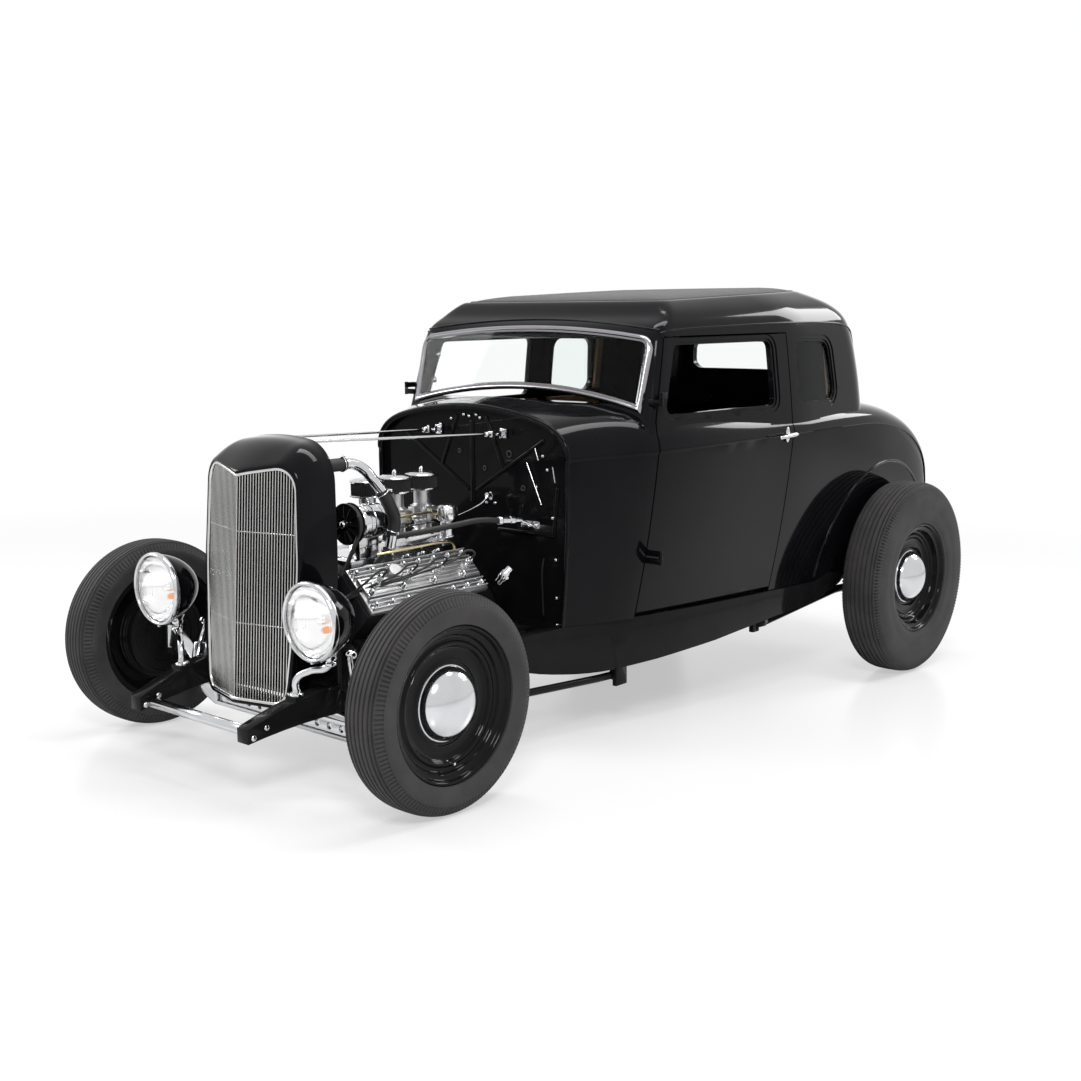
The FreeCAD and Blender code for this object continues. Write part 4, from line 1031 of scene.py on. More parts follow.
@dataclass
class Body:
    """Cowl, doors, roof, rear body and lid, all cut from one skin as the real panels are."""

    skin: Skin = field(default_factory=Skin)
    door_front: float = 1145.0
    door_length: float = 780.0
    door_top: float = 1290.0
    door_bottom: float = 346.0
    hinge_x: float = 614.0
    hinge_y: float = 1143.0
    leaves: tuple[tuple[float, float, float], ...] = ((552.0, 538.0, 5.0), (1088.0, 566.0, 30.0))
    gap: float = 2.8
    lid_front: float = 2612.0
    lid_half: float = 400.0
    lid_bottom: float = 470.0
    arch_middle: Pair = (2708.0, 269.0)
    arch_radius: float = 474.0
    steps: tuple[Pair, ...] = ((25.0, 3.6), (10.0, 8.0))
    outside: Optional[BVHTree] = None
    inside: Optional[BVHTree] = None

    def door_outline(self, grow: float) -> list[Pair]:
        """Side view of a door as (y, z), its rear edge round about the hinge line.

        Args:
            grow: Distance outside the door.

        Returns:
            The outline.
        """
        lean = tan(radians(14.84))
        front, top = self.door_front - grow, self.door_top + grow
        under = self.door_bottom - (grow + 40 if grow > 0 else grow)
        drop = -40 / 1400 * (self.door_length + 60)
        return [(front, under), (front, 1010), (front + lean * (top - 1010), top),
            (self.door_front + self.door_length + 60, top), (self.door_front + self.door_length + 60, under
            + drop)]

    def door_space(self, grow: float) -> Piece:
        """Room of the left door, grown all round.

        Args:
            grow: Distance outside the door.

        Returns:
            The room as a tool.
        """
        side = prism([(300, y, z) for y, z in self.door_outline(grow)], (500, 0, 0))
        reach = self.door_length + 2 + grow
        drum = spun([(0, 0), (0, reach), (1500, reach), (1500, 0)], (self.hinge_x, self.hinge_y, 100), UP,
            256)
        return cut(side, drum, "INTERSECT")

    def lid_space(self, grow: float) -> Piece:
        """Room of the deck lid."""
        half, front, low = self.lid_half + grow, self.lid_front - grow, self.lid_bottom - grow
        return prism([(-half, front, low), (half, front, low), (half, front, 1200), (-half, front, 1200)],
            (0, 800, 0))

    @staticmethod
    def door_glass(grow: float) -> list[Pair]:
        """Side view of the door's window, or of a step round it, as (y, z)."""
        return rounded([(1206 - grow * 1.1, 1030 - grow, 26 + grow), (1280 - grow * 0.8, 1262 + grow,
            26 + grow), (1832 + grow, 1262 + grow, 26 + grow), (1832 + grow, 1030 - grow, 26 + grow)], (8,))

    @staticmethod
    def quarter_glass(grow: float) -> list[Pair]:
        """Side view of the quarter window, or of a step round it, as (y, z)."""
        return rounded([(1992 - grow, 1030 - grow, 44 + grow), (1992 - grow, 1258 + grow, 44 + grow),
            (2234 + grow, 1250 + grow, 44 + grow), (2256 + grow, 1030 - grow, 44 + grow)], (8,))

    def reveals(self, shell: Piece) -> Piece:
        """Press the two steps round each side window into the skin.

        Args:
            shell: The skin.

        Returns:
            The same skin.
        """
        for grow, deep in self.steps:
            tools = [prism([(x, y, z) for y, z in outline], (500, 0, 0)) for x in (300, -800)
                for outline in (self.door_glass(grow), self.quarter_glass(grow))]
            shell = cut(shell, cut(joined(tools), self.skin.upper(deep)))
        return shell

    def reach(self, tree: BVHTree, start: Point, way: Point) -> Optional[Vector]:
        """Where a straight line from a start first meets a skin."""
        return tree.ray_cast(Vector(start), Vector(way))[0]

    def holes(self) -> list[Piece]:
        """Tools for the windows and the wheel arches.

        Returns:
            The tools.
        """
        tools = []
        for x in (300, -800):
            tools.append(prism([(x, y, z) for y, z in self.quarter_glass(0)], (500, 0, 0)))
            tools.append(spun([(0, 0), (0, self.arch_radius), (500, self.arch_radius), (500, 0)],
                (x, *self.arch_middle), LEFT, 128))
        front = rounded([(-512, 1066, 20), (512, 1066, 20), (512, 1284, 20), (-512, 1284, 20)])
        tools.append(prism([(x, 1000, z) for x, z in front], (0, 230, 0)))
        back = rounded([(-250, 1120, 40), (250, 1120, 40), (240, 1236, 40), (-240, 1236, 40)])
        tools.append(prism([(x, 2400, z) for x, z in back], (0, 300, 0)))
        return tools

    def shell(self) -> Piece:
        """The whole skin with its wall, before it is split.

        Returns:
            The shell.
        """
        skin = self.skin
        outer = cut(skin.lower(False), skin.upper(0), "UNION")
        inner = cut(skin.lower(True), skin.upper(30), "UNION")
        self.outside, self.inside = [BVHTree.FromPolygons([corner.co.copy()
            for corner in piece.data.vertices], [tuple(face.vertices) for face in piece.data.polygons])
            for piece in (outer, inner)]
        shell = self.reveals(cut(outer, inner))
        ring = skin.outline(skin.levels[-1], 24)
        opening = prism([(x, y, z - 60) for x, y, z in ring], (0, 0, 160))
        for tool in self.holes() + [opening]:
            shell = cut(shell, tool)
        return shell

    def hinge_leaf(self, leaf: tuple[float, float, float], swung: bool) -> Piece:
        """One leaf of a left door hinge: the door's where it is the swung one.

        Args:
            leaf: Its height, inner edge and set-back.
            swung: True for the door's.

        Returns:
            The leaf.
        """
        (height, inner, behind), x, y = leaf, self.hinge_x, self.hinge_y
        if not swung:
            return joined([bar((x, y, height - 24), (x, y, height), 7), block((inner, y - 9, height - 22),
                (x, y - 1, height - 2), 0.8)])
        low, high = height + 2, height + 22
        return joined([bar((x, y, height + 0.3), (x, y, height + 24), 7), block((x - 6, y, low),
            (x, y + behind, high), 0.8), block((inner, y + behind, low), (x, y + behind + 7, high), 0.8)])

    def lid_leaf(self, swung: bool) -> Piece:
        """One leaf of the left lid hinge: the lid's where it is the swung one."""
        y, (near, far) = self.lid_front, (300.3, 314) if swung else (286, 300)
        low, high = ((near, y, 990), (far, y + 24, 1010)) if swung else ((near, y - 24, 996), (far, y, 1010))
        return joined([bar((near, y, 1012), (far, y, 1012), 7), block(low, high, 0.8)])

    @staticmethod
    def finish_panel(piece: Piece) -> Piece:
        """Weld a panel and break its sharp edges."""
        outward(piece, 0.05)
        return changed(piece, "BEVEL", width=1.6, segments=2, limit_method="ANGLE", angle_limit=radians(42),
            harden_normals=False)

    def build(self) -> None:
        """Cut the shell into its panels and fit them."""
        shell = self.shell()
        for side, sign in SIDES:
            flip, node = Matrix.Scale(sign, 4, LEFT), "door_" + side
            room, hole = (moved(self.door_space(grow), flip) for grow in (-self.gap, self.gap))
            door = cut(copied(shell), room, "INTERSECT")
            cut(door, prism([(min(sign * 300, sign * 800), y, z) for y, z in self.door_glass(0)],
                (500, 0, 0)))
            self.finish_panel(door)
            cut(shell, hole)
            leaves = [moved(self.hinge_leaf(leaf, True), flip) for leaf in self.leaves]
            fit(node + "_panel", [door] + leaves, BODY_BLACK, node, replaces=(node,))
        lid = self.finish_panel(cut(copied(shell), self.lid_space(-self.gap), "INTERSECT"))
        cut(shell, self.lid_space(self.gap))
        self.finish_panel(shell)
        fit("deck_lid_panel", [lid, both(self.lid_leaf(True))], BODY_BLACK, "deck_lid",
            replaces=("deck_lid",))
        leaves = [both(leaf) for leaf in [self.lid_leaf(False)] + [self.hinge_leaf(leaf, False)
            for leaf in self.leaves]]
        fit("body_tub", [shell] + leaves, BODY_BLACK, replaces=("cowl", "rear_body", "roof_shell"))


# ---------------------------------------------------------------- rolling gear

def eased(points: Sequence[Pair], steps: int = 5) -> list[Pair]:
    """A smooth line through flat points, both ends kept.

    Args:
        points: The points to pass through.
        steps: Points from each to the next.

    Returns:
        The line.
    """
    line: list[Pair] = []
    for i in range(len(points) - 1):
        a, b = points[max(i - 1, 0)], points[i]
        c, d = points[i + 1], points[min(i + 2, len(points) - 1)]
        for k in range(steps):
            t = k / steps
            line.append(tuple(0.5 * (2 * q + (r - p) * t + (2 * p - 5 * q + 4 * r - s) * t * t
                + (3 * q - p - 3 * r + s) * t**3) for p, q, r, s in zip(a, b, c, d)))
    return line + [points[-1]]


@dataclass
class Corner:
    """One wheel: a ribbed bias-ply tyre, a stepped steel wheel with its drum, and a bright cap."""

    place: str
    sign: int
    along: float
    half_track: float
    radius: float
    width: float
    rim: float = 226.0
    cap: float = 110.0
    reach: float = 84.0
    drum: float = 150.0
    bore: float = 16.2
    notches: int = 144
    grooves: int = 6

    @property
    def body(self) -> str:
        """The body that the wheel turns with."""
        return "wheel_" + self.place

    def put(self, name: str, piece: Piece, finish: Finish, replaces: Sequence[str] = (),
            angle: float = 40.0) -> None:
        """Stand a piece made along X at this corner and fit it."""
        turn = Matrix.Identity(4) if self.sign > 0 else Matrix.Rotation(pi, 4, "Z")
        moved(piece, Matrix.Translation((self.sign * self.half_track, self.along, self.radius)) @ turn)
        fit(name % self.place, [piece], finish, self.body, GROUND, replaces, angle)

    def tread_rows(self) -> list[tuple[float, float, float, float]]:
        """Rows across the tyre: place, radius, side shift of a zigzag, depth of a notch.

        Returns:
            The rows, from the middle outwards.
        """
        half, outer, rim = self.width / 2, self.radius, self.rim
        crown = eased([(0, outer), (half * 0.42, outer - 0.8), (half * 0.66, outer - 4.5),
            (half * 0.8, outer - 10.5), (half * 0.935, outer - 27), (half * 0.998, (outer + rim) / 2 + 6),
            (half * 0.985, rim + 34), (half - 9, rim + 0.5)], 6)

        def at(place: float) -> float:
            """Radius of the crown at a place."""
            for (x0, r0), (x1, r1) in zip(crown, crown[1:]):
                if x0 <= place <= x1:
                    return r0 + (r1 - r0) * (place - x0) / max(x1 - x0, 1e-6)
            return crown[-1][1]

        span = half * 0.7
        pitch = 2 * span / self.grooves
        wide = pitch * 0.21
        places = [-span + pitch * (i + 0.5) for i in range(self.grooves)] + [span + 2]
        rows = [(0.0, outer, 0.0, 0.0)]
        for place in (place for place in places if place > 0):
            rows += [(place + wide * side, at(place) - 6.6 if abs(side) < 1 else at(place + wide * side), 0.4,
                0) for side in (-1, -0.5, 0.5, 1)]
        for x, r in crown:
            if x > places[-1] + wide + 1:
                on_shoulder = half * 0.76 < x < half * 0.985 and r > outer - 44
                rows.append((x, r, 0, 9 if on_shoulder else 0))
            if x >= half * 0.9985 and r < outer - 60:
                break
        last = rows[-1]
        for x, r in crown:
            if r < last[1] - 0.5 and x < last[0] + 0.01:
                ring = 1.6 * exp(-((r - rim - 20) / 2.2) ** 2) - 1.2 * exp(-((r - rim - 52) / 1.6) ** 2)
                rows.append((x + ring - 1.7, r, 0, 0))
        return rows + [(half - along, rim + up, 0, 0) for along, up in ((13, 0.3), (20.4, 0.3),
            (22.4, -12.7))]

    def tyre(self) -> None:
        """Mould the tyre."""
        right = self.tread_rows()
        rows = [(-x, r, zig, notch) for x, r, zig, notch in reversed(right[1:])] + right
        steps = self.notches * 3
        points = []
        for step in range(steps):
            angle = tau * step / steps
            swing = (0, 1, -1)[step % 3]
            for x, r, zig, notch in rows:
                deep = r - (notch if step % 3 == 0 else 0)
                points.append((x + zig * swing, deep * cos(angle), deep * sin(angle)))
        tyre = outward(meshed(points, walls(steps, len(rows), True)))
        self.put("tyre_%s_ribbed", tyre, TYRE, ("tyre_" + self.place,), 38)

    def wheel(self) -> None:
        """Press the steel wheel and its drum."""
        half, rim, cap, bore, drum = self.width / 2 - 14, self.rim, self.cap, self.bore, self.drum
        face = eased([(half - along, rim - down) for along, down in ((1.2, 1.5), (0, 5), (1.5, 9), (7, 12.5),
            (13, 16), (15.5, 22), (17, 28))], 4)
        well = [(x, rim - down) for x, down in ((min(half - 19, 36), 31), (28, 35), (25.5, 42), (27.5, 48),
            (31, 52), (31, 58), (26.5, 62), (20, 66), (15.5, 74), (14, 84))]
        well = eased(well + [(14.5, cap + 15), (17.5, cap + 8), (18.5, cap + 3), (17, cap - 3)], 4)
        profile = [(along - half, turn) for along, turn in ((6, bore), (6, drum - 8), (8, drum - 4),
            (14, drum - 4), (16, drum), (24, drum), (26, drum - 4), (32, drum - 4), (34, drum))]
        profile += [(-8, drum), (-8, cap + 12), (2, cap + 12), (6, rim - 78), (10, rim - 48), (4, rim - 45.5),
            (-16, rim - 44)]
        profile += [(along - half, rim - down) for along, down in ((26, 28), (14, 23), (2, 20), (0, 17),
            (0, 3), (2.5, 0), (5.4, 2), (8, 13.2), (20, 15))]
        profile += [(-18, rim - 34), (18, rim - 34)]
        profile += [(half - along, rim - down) for along, down in ((20, 15), (8, 13.2), (5.4, 2), (2.5, 0))]
        profile += face + well + [(12, cap - 6), (12, 44), (34, 38), (36, bore), (6 - half, bore)]
        self.put("wheel_%s_pressed", spun(profile, steps=128), WHEEL_BLACK, (self.body,), 32)

    def trim(self) -> None:
        """Spin the bright cap and stand the valve in the wheel."""
        cap, reach = self.cap, self.reach
        profile = [(13, 0), (13, cap - 6), (15, cap - 0.6), (17.6, cap), (20, cap - 1.4), (21, cap - 4.4)]
        profile += [(22 + (reach - 22.5) * sin(a) ** 1.04, (cap - 5) * cos(a)) for a in spread(0, pi / 2, 27)]
        self.put("cap_%s", spun(profile, steps=96), CHROME)
        stem = [(0, 0), (0, 5), (3, 5), (4, 3.4), (22, 3), (22, 4), (33, 4), (34, 2.6), (34, 0)]
        self.put("valve_%s", spun(stem, (22, 0, 60 - self.rim), steps=16), CHROME)

    def build(self) -> None:
        """Make the corner."""
        self.tyre()
        self.wheel()
        self.trim()


@dataclass
class RollingGear:
    """The four corners."""

    wheelbase: float = 2692.0

    def build(self) -> None:
        """Make all four."""
        for side, sign in SIDES:
            Corner("front_" + side, sign, 0, 696, 315.5, 140).build()
            Corner("rear_" + side, sign, self.wheelbase, 716, 396, 172, notches=176, grooves=6).build()


# ---------------------------------------------------------------- chassis

@dataclass
class Chassis:
    """Frame, axles, springs and steering: smooth copies of the frame's solids with their fastenings."""

    axle_level: float = 158.0
    axle_centre: float = 315.5
    horn: float = 290.0
    horn_tip: float = -345.0

    def forgings(self) -> None:
        """Smooth the large members; the tie rod and the knuckles ride on bodies of their own."""
        for node, finish, angle, bevel in (("frame", FRAME_BLACK, 32, 0.0022), ("rear_axle", FRAME_BLACK, 38,
                0), ("leaf_springs", FRAME_BLACK, 32, 0.0008), ("radius_rods", FRAME_BLACK, 40, 0),
                ("front_axle", CHROME, 32, 0.0016), ("front_shocks", CHROME, 40, 0), ("spreader_bar", CHROME,
                40, 0), ("tie_rod", CHROME, 40, 0), ("exhaust", PIPE_BLACK, 40, 0), ("gearbox", ENGINE_BLACK,
                38, 0), ("fuel_tank", FRAME_BLACK, 32, 0.004), ("knuckle_left", AXLE_BLACK, 32, 0.001),
                ("knuckle_right", AXLE_BLACK, 32, 0.001)):
            smoothed(node, finish, node if node.startswith(("tie", "knuckle")) else "chassis", angle, bevel)

    def tank_ribs(self) -> None:
        """Straps and a drain plug on the tank."""
        path = (2899, 330), (2899, 250), (2923, 225), (3047, 225), (3071, 250), (3071, 330)
        parts = [rope([(x, y, z) for y, z in path], 3.5, smooth=False) for x in (-260, 0, 260)]
        fit("tank_straps", parts + [hexagon((60, 2985, 226), DOWN, 24, 9)], FRAME_BLACK)

    def bolts(self) -> None:
        """Bright bolts on the horns, brackets, perches and kingpins."""
        horn, level = self.horn, self.axle_level
        tips = [hexagon((x, y, z), (way, 0, 0), 17, 6.5, 3) for y, z in ((self.horn_tip + 16, 213),
            (self.horn_tip + 62, 233)) for x, way in ((horn, 1), (horn - 50, -1))]
        tips += [hexagon((horn + x, y, 300), UP, 13, 6) for x, y in ((6, -162), (-22, -176))]
        fit("horn_bolts", tips, CHROME, twin=True)
        nuts = [hexagon((400, 0, level + 95), UP, 26, 12, 5), hexagon((400, 0, level + 40), DOWN, 24, 9),
            hexagon((400, 61, level + 34), AFT, 24, 9, 4), hexagon((400, -66, level + 34), FORE, 22, 8, 4),
            hexagon((362, -36, 402), LEFT, 22, 9, 4)]
        nuts += [hexagon((x, y, 260), UP, 16, 7) for y in (-15, 15) for x in (30, 60)]
        fit("axle_nuts", nuts, CHROME, matrix=GROUND, twin=True)
        rods = [hexagon((460, y, 178), LEFT, 14, 6) for y in (1092, 1118)]
        rods += [bar((440, 1139, 178), (440, 1166, 178), 8), hexagon((440, 1140, 178), AFT, 26, 14, 6)]
        fit("rod_ends", rods, CHROME, matrix=GROUND, twin=True)

    def brakes(self) -> None:
        """Backing plate ribs and bolts at each front knuckle."""
        inner, level = 696 - 70 - 4, self.axle_centre
        for side, sign in SIDES:
            plate = [rope([(inner, y, level + z) for y, z in around(64, ring)], 2.6, True, False, 6)
                for ring in (128, 96, 60)]
            plate += [hexagon((inner + 1, y, level + z), (-1, 0, 0), 12, 5)
                for y, z in around(8, 78, tau / 16)]
            piece = moved(joined(plate), Matrix.Scale(sign, 4, LEFT))
            fit("plate_ribs_" + side, [piece], AXLE_BLACK, "knuckle_" + side, GROUND)

    def build(self) -> None:
        """Dress the chassis."""
        for make in (self.forgings, self.tank_ribs, self.bolts, self.brakes):
            make()


# ---------------------------------------------------------------- front end

@dataclass
class Grille:
    """Painted shell with its rolled lip, bright bead and V of fine bars, and the radiator behind."""

    sections: tuple[tuple[float, ...], ...] = ((-215, 188, 232, 227, 196, 872, 880, 40, 60),
        (-60, 204, 226, 237, 222, 982, 1004, 50, 100), (32, 212, 222, 240, 226, 1000, 1028, 60, 130))
    crease: float = -183.0
    lean: float = 0.0706
    sweep: float = radians(15.5)
    wall: float = 12.0
    bars: int = 22

    def section(self, row: Sequence[float], inset: float) -> list[Point]:
        """Outline of the shell at one section.

        Args:
            row: One row of the sections' table.
            inset: Distance inside it.

        Returns:
            Points round the outline.
        """
        place, foot, low, middle, shoulder, high, crown, foot_turn, turn = row
        corners = [(foot - inset, low + inset, foot_turn), (middle - inset, 640, 1000),
            (shoulder - inset, high - inset, turn - inset * 0.7), (0, crown - inset, 900)]
        corners += [(-x, z, radius) for x, z, radius in reversed(corners[:-1])]
        loop = rounded(corners, (8, 12, 14, 12, 14, 12, 8), (10,))
        return [(x, place + 0.03 * (z - 222), z) for x, z in loop]

    def face(self, x: float, z: float) -> float:
        """Place of the V-shaped face."""
        return self.crease + self.lean * (z - 253) + abs(x) * tan(self.sweep)

    def crossing(self, rows: Sequence[Sequence[Point]], back: float = 0.0) -> list[float]:
        """Where each line of the skin meets the face moved back, as stops between the rows.

        Args:
            rows: Sections of the skin.
            back: Distance behind the face.

        Returns:
            A stop for each line.
        """
        fine = [between(rows, i / 20) for i in range(41)]
        stops = []
        for j in range(len(rows[0])):
            gaps = [fine[i][j][1] - self.face(fine[i][j][0], fine[i][j][2]) - back for i in range(41)]
            k = next((i for i in range(40) if gaps[i] <= 0 < gaps[i + 1]), 0)
            stops.append((k - gaps[k] / (gaps[k + 1] - gaps[k])) / 20 if gaps[k + 1] != gaps[k] else 0)
        return stops

    @staticmethod
    def lines(rows: Sequence[Sequence[Point]], stops: Sequence[float], share: float) -> list[Point]:
        """A loop part of the way from the rear edge to where each line meets the face.

        Args:
            rows: Sections of the skin.
            stops: Where each line meets the face.
            share: Part of the way, from 0 to 1.

        Returns:
            The loop.
        """
        fine = [between(rows, i / 20) for i in range(41)]
        loop = []
        for j, stop in enumerate(2 + (stop - 2) * share for stop in stops):
            i = min(int(stop * 20), 39)
            loop.append(tuple(a + (b - a) * (stop * 20 - i) for a, b in zip(fine[i][j], fine[i + 1][j])))
        return loop

    def shell(self) -> list[Point]:
        """Press the shell round its opening.

        Returns:
            Points round the edge.
        """
        outer, inner = ([self.section(row, inset) for row in self.sections] for inset in (0, self.wall))
        out_stops, in_stops = self.crossing(outer, 4), self.crossing(inner, 2)
        loops = [self.lines(outer, out_stops, i / 18) for i in range(19)]
        edge, lip = loops[-1], self.lines(inner, in_stops, 1)
        for share, ahead in ((0.18, 3), (0.42, 4.6), (0.66, 4.2), (0.86, 2.2)):
            loops.append([(a[0] + (b[0] - a[0]) * share, a[1] + (b[1] - a[1]) * share - ahead + 1, a[2]
                + (b[2] - a[2]) * share) for a, b in zip(edge, lip)])
        loops += [self.lines(inner, in_stops, 1 - i / 10) for i in range(11)]
        shell = lofted(loops, True)
        shell = cut(shell, block((-300, -62, 100), (300, 120, 312)))
        fit("grille_shell_pressed", [outward(shell, 0.05)], BODY_BLACK, replaces=("grille_shell",), angle=34)
        return lip

    def ends(self, lip: Sequence[Point], x: float) -> Pair:
        """Lowest and highest point of the opening at a distance from the middle.

        Args:
            lip: Edge of the opening.
            x: The distance.

        Returns:
            The two heights.
        """
        heights = []
        for a, b in zip(lip, [*lip[1:], lip[0]]):
            if (a[0] - x) * (b[0] - x) <= 0 and a[0] != b[0]:
                heights.append(a[2] + (b[2] - a[2]) * (x - a[0]) / (b[0] - a[0]))
        return min(heights), max(heights)

    def insert(self, lip: Sequence[Point]) -> None:
        """Bright bead, bars and tie wires.

        Args:
            lip: Edge of the opening.
        """
        pieces = [rope([(x * 0.992, y + 3.5, (z - 560) * 0.996 + 560) for x, y, z in lip], 5.4, True, False,
            8)]
        pitch = (max(point[0] for point in lip) - 8) / self.bars
        for i in range(-self.bars + 1, self.bars):
            x, (low, high) = i * pitch, self.ends(lip, i * pitch)
            wide, deep = (1.9, 6) if i else (2.4, 7)
            low, high = low + 2.5, high - 2.5
            outline = [(-wide, 2), (-wide * 0.75, 0.4), (0, 0), (wide * 0.75, 0.4), (wide, 2),
                (wide * 0.6, deep), (-wide * 0.6, deep)]
            foot = [(x + across, self.face(x, low) + 7 + back, low) for across, back in outline]
            pieces.append(prism(foot, (0, self.face(x, high) - self.face(x, low), high - low)))
        for height in (472, 747):
            reach = max(p[0] for p in lip if abs(p[2] - height) < 60) - 6
            line = [(x, self.face(x, height) + 13, height) for x in (-reach, 0, reach)]
            pieces.append(rope(line, 2.2, smooth=False))
        fit("grille_insert", pieces, STAINLESS, replaces=("grille_bars",), angle=40)

    def radiator(self) -> None:
        """Core with its fins and tubes."""
        smoothed("radiator", FRAME_BLACK, bevel=0.004)
        parts = [block((-196, 7, z), (196, 10.5, z + 1.6)) for z in range(340, 900, 9)]
        parts += [block((x - 2, 6, 336), (x + 2, 12, 902)) for x in range(-190, 191, 20)]
        fit("radiator_fins", parts, ENGINE_BLACK)

    def build(self) -> None:
        """Make the grille."""
        self.insert(self.shell())
        self.radiator()


@dataclass
class Lamps:
    """Bucket headlamps with fluted lenses, and small round tail lamps."""

    radius: float = 115.0
    front: float = -189.0
    half: float = 375.0
    height: float = 531.0
    foot: float = 282.0

    @property
    def place(self) -> Point:
        """Middle of the left headlamp's front."""
        return self.half, self.front, self.height

    def bucket(self) -> None:
        """Black bowl on its curved bright stand."""
        r, half, foot = self.radius, self.half, self.foot
        curve = [(22, r - 4.5), (48, r - 10), (84, r - 24), (118, r - 49), (142, r - 80)]
        bowl = [(6, r - 11), (7, r - 1.5), (14, r - 1), (16, r - 4),
            *eased(curve + [(152, r - 104), (155, 0)], 6), (148, 0)]
        bowl += [(along - 4, max(turn - 4, 0)) for along, turn in reversed(eased(curve + [(150, 20)], 4))]
        fit("lamp_bowls", [spun(bowl + [(6, r - 11)], self.place, AFT, 72)], BODY_BLACK,
            replaces=("headlamps",), angle=34, twin=True)
        stand = rope([(foot, -162, 306), (foot + 1, -162, 345), (foot + 36, -142, 372),
            (half - 12, -114, 386), (half, -110, 412), (half, -110, self.height - 92)], 11, rings=12)
        base = spun([(0, 0), (0, 22), (5, 22), (8, 19), (10, 13), (18, 12), (18, 0)], (foot, -162, 300), UP,
            32)
        collar = spun([(0, 0), (0, 17), (6, 19), (12, 17), (20, 21), (30, 26), (34, 0)],
            (half, -110, self.height - 122), UP, 32)
        nut = hexagon((half, -110, self.height - 128), DOWN, 30, 10, 5)
        fit("lamp_stands", [stand, base, collar, nut], CHROME, angle=40, twin=True)

    def rims(self) -> None:
        """Bright rim, reflector and bulb."""
        r, place = self.radius, self.place
        rim = spun(eased([(11, r - 11), (4, r - 10.6), (0.4, r - 7.5), (0.2, r - 4), (3, r - 0.4),
            (9, r + 1.8), (17, r + 1.2), (20, r - 2), (19, r - 6)], 4) + [(11, r - 11)], place, AFT, 96)
        screw = hexagon((self.half, self.front + 12, self.height - r - 1), DOWN, 11, 5)
        bowl = eased([(14, r - 12), (36, r - 22), (62, r - 44), (84, r - 76), (92, 12)], 6)
        back = [(92, 0), (96, 0), (96, 12)] + [(along + 3.5, turn + 1.2) for along, turn in reversed(bowl)]
        bulb = spun(eased([(40, 0), (42, 11), (54, 18), (70, 15), (88, 11), (92, 0)], 4), place, AFT, 24)
        fit("lamp_rims", [rim, screw], CHROME, angle=40, twin=True)
        fit("lamp_reflectors", [spun(bowl + back + [bowl[0]], place, AFT, 72), bulb], REFLECTOR, angle=40,
            twin=True)

    def lenses(self) -> None:
        """Thin domed lens with its flutes moulded in, and an amber lamp behind it."""
        rings, steps, points, edge = 18, 96, [], self.radius - 10.5
        for layer in (0, 1):
            for i in range(rings + 1):
                for x, z in around(steps, edge * i / rings):
                    deep = -9.8 + 12.5 * (i / rings) ** 2 + layer * 3.2
                    if layer and i < rings:
                        deep += 0.9 * cos(x * 0.55) if z > -18 else 0.7 * cos(z * 0.4)
                    points.append((self.half + x, self.front + deep, self.height + z))
        inner, layer = walls(rings + 1, steps), (rings + 1) * steps
        faces = inner + [tuple(corner + layer for corner in face) for face in inner]
        faces += [(a, b, b + layer, a + layer) for a, b in ((layer - steps + k, layer - steps
            + (k + 1) % steps) for k in range(steps))]
        fit("lamp_lenses", [outward(meshed(points, faces), 0.02)], LENS, replaces=("headlamp_lenses",),
            angle=50, twin=True)
        glow = spun(eased([(36, 0), (38, 6), (44, 9.5), (58, 9.5), (62, 0)], 4), (self.half + 22, self.front,
            self.height - 26), AFT, 24)
        fit("signal_bulbs", [glow, copied(glow, Matrix.Translation((-2 * self.half, 0, 0)))], AMBER, angle=40)

    def tails(self) -> None:
        """Ruby lens in a bright ring on a black body."""
        bezel, dome = [(12, 41), (15, 43.6), (19, 43), (21, 39), (18, 37)], [(19, 38), (34, 33), (46, 22),
            (53, 8), (54, 0)]
        for name, profile, finish, replaces, angle in (("tail_bodies", [(0, 0), (0, 44), (4, 45.6), (8, 46),
                (13, 42), (13, 0)], BODY_BLACK, ("tail_lamps",), 34), ("tail_rings", eased(bezel, 3)
                + bezel[:1], CHROME, (), 40), ("tail_glass", [(12.5, 0), (12.5, 38.5)] + eased(dome, 4), RUBY,
                (), 40)):
            fit(name, [spun(profile, (470, 3190.3, 530), AFT, 48)], finish, replaces=replaces, angle=angle,
                twin=True)

    def build(self) -> None:
        """Make all the lamps."""
        for make in (self.bucket, self.rims, self.lenses, self.tails):
            make()


# ---------------------------------------------------------------- engine

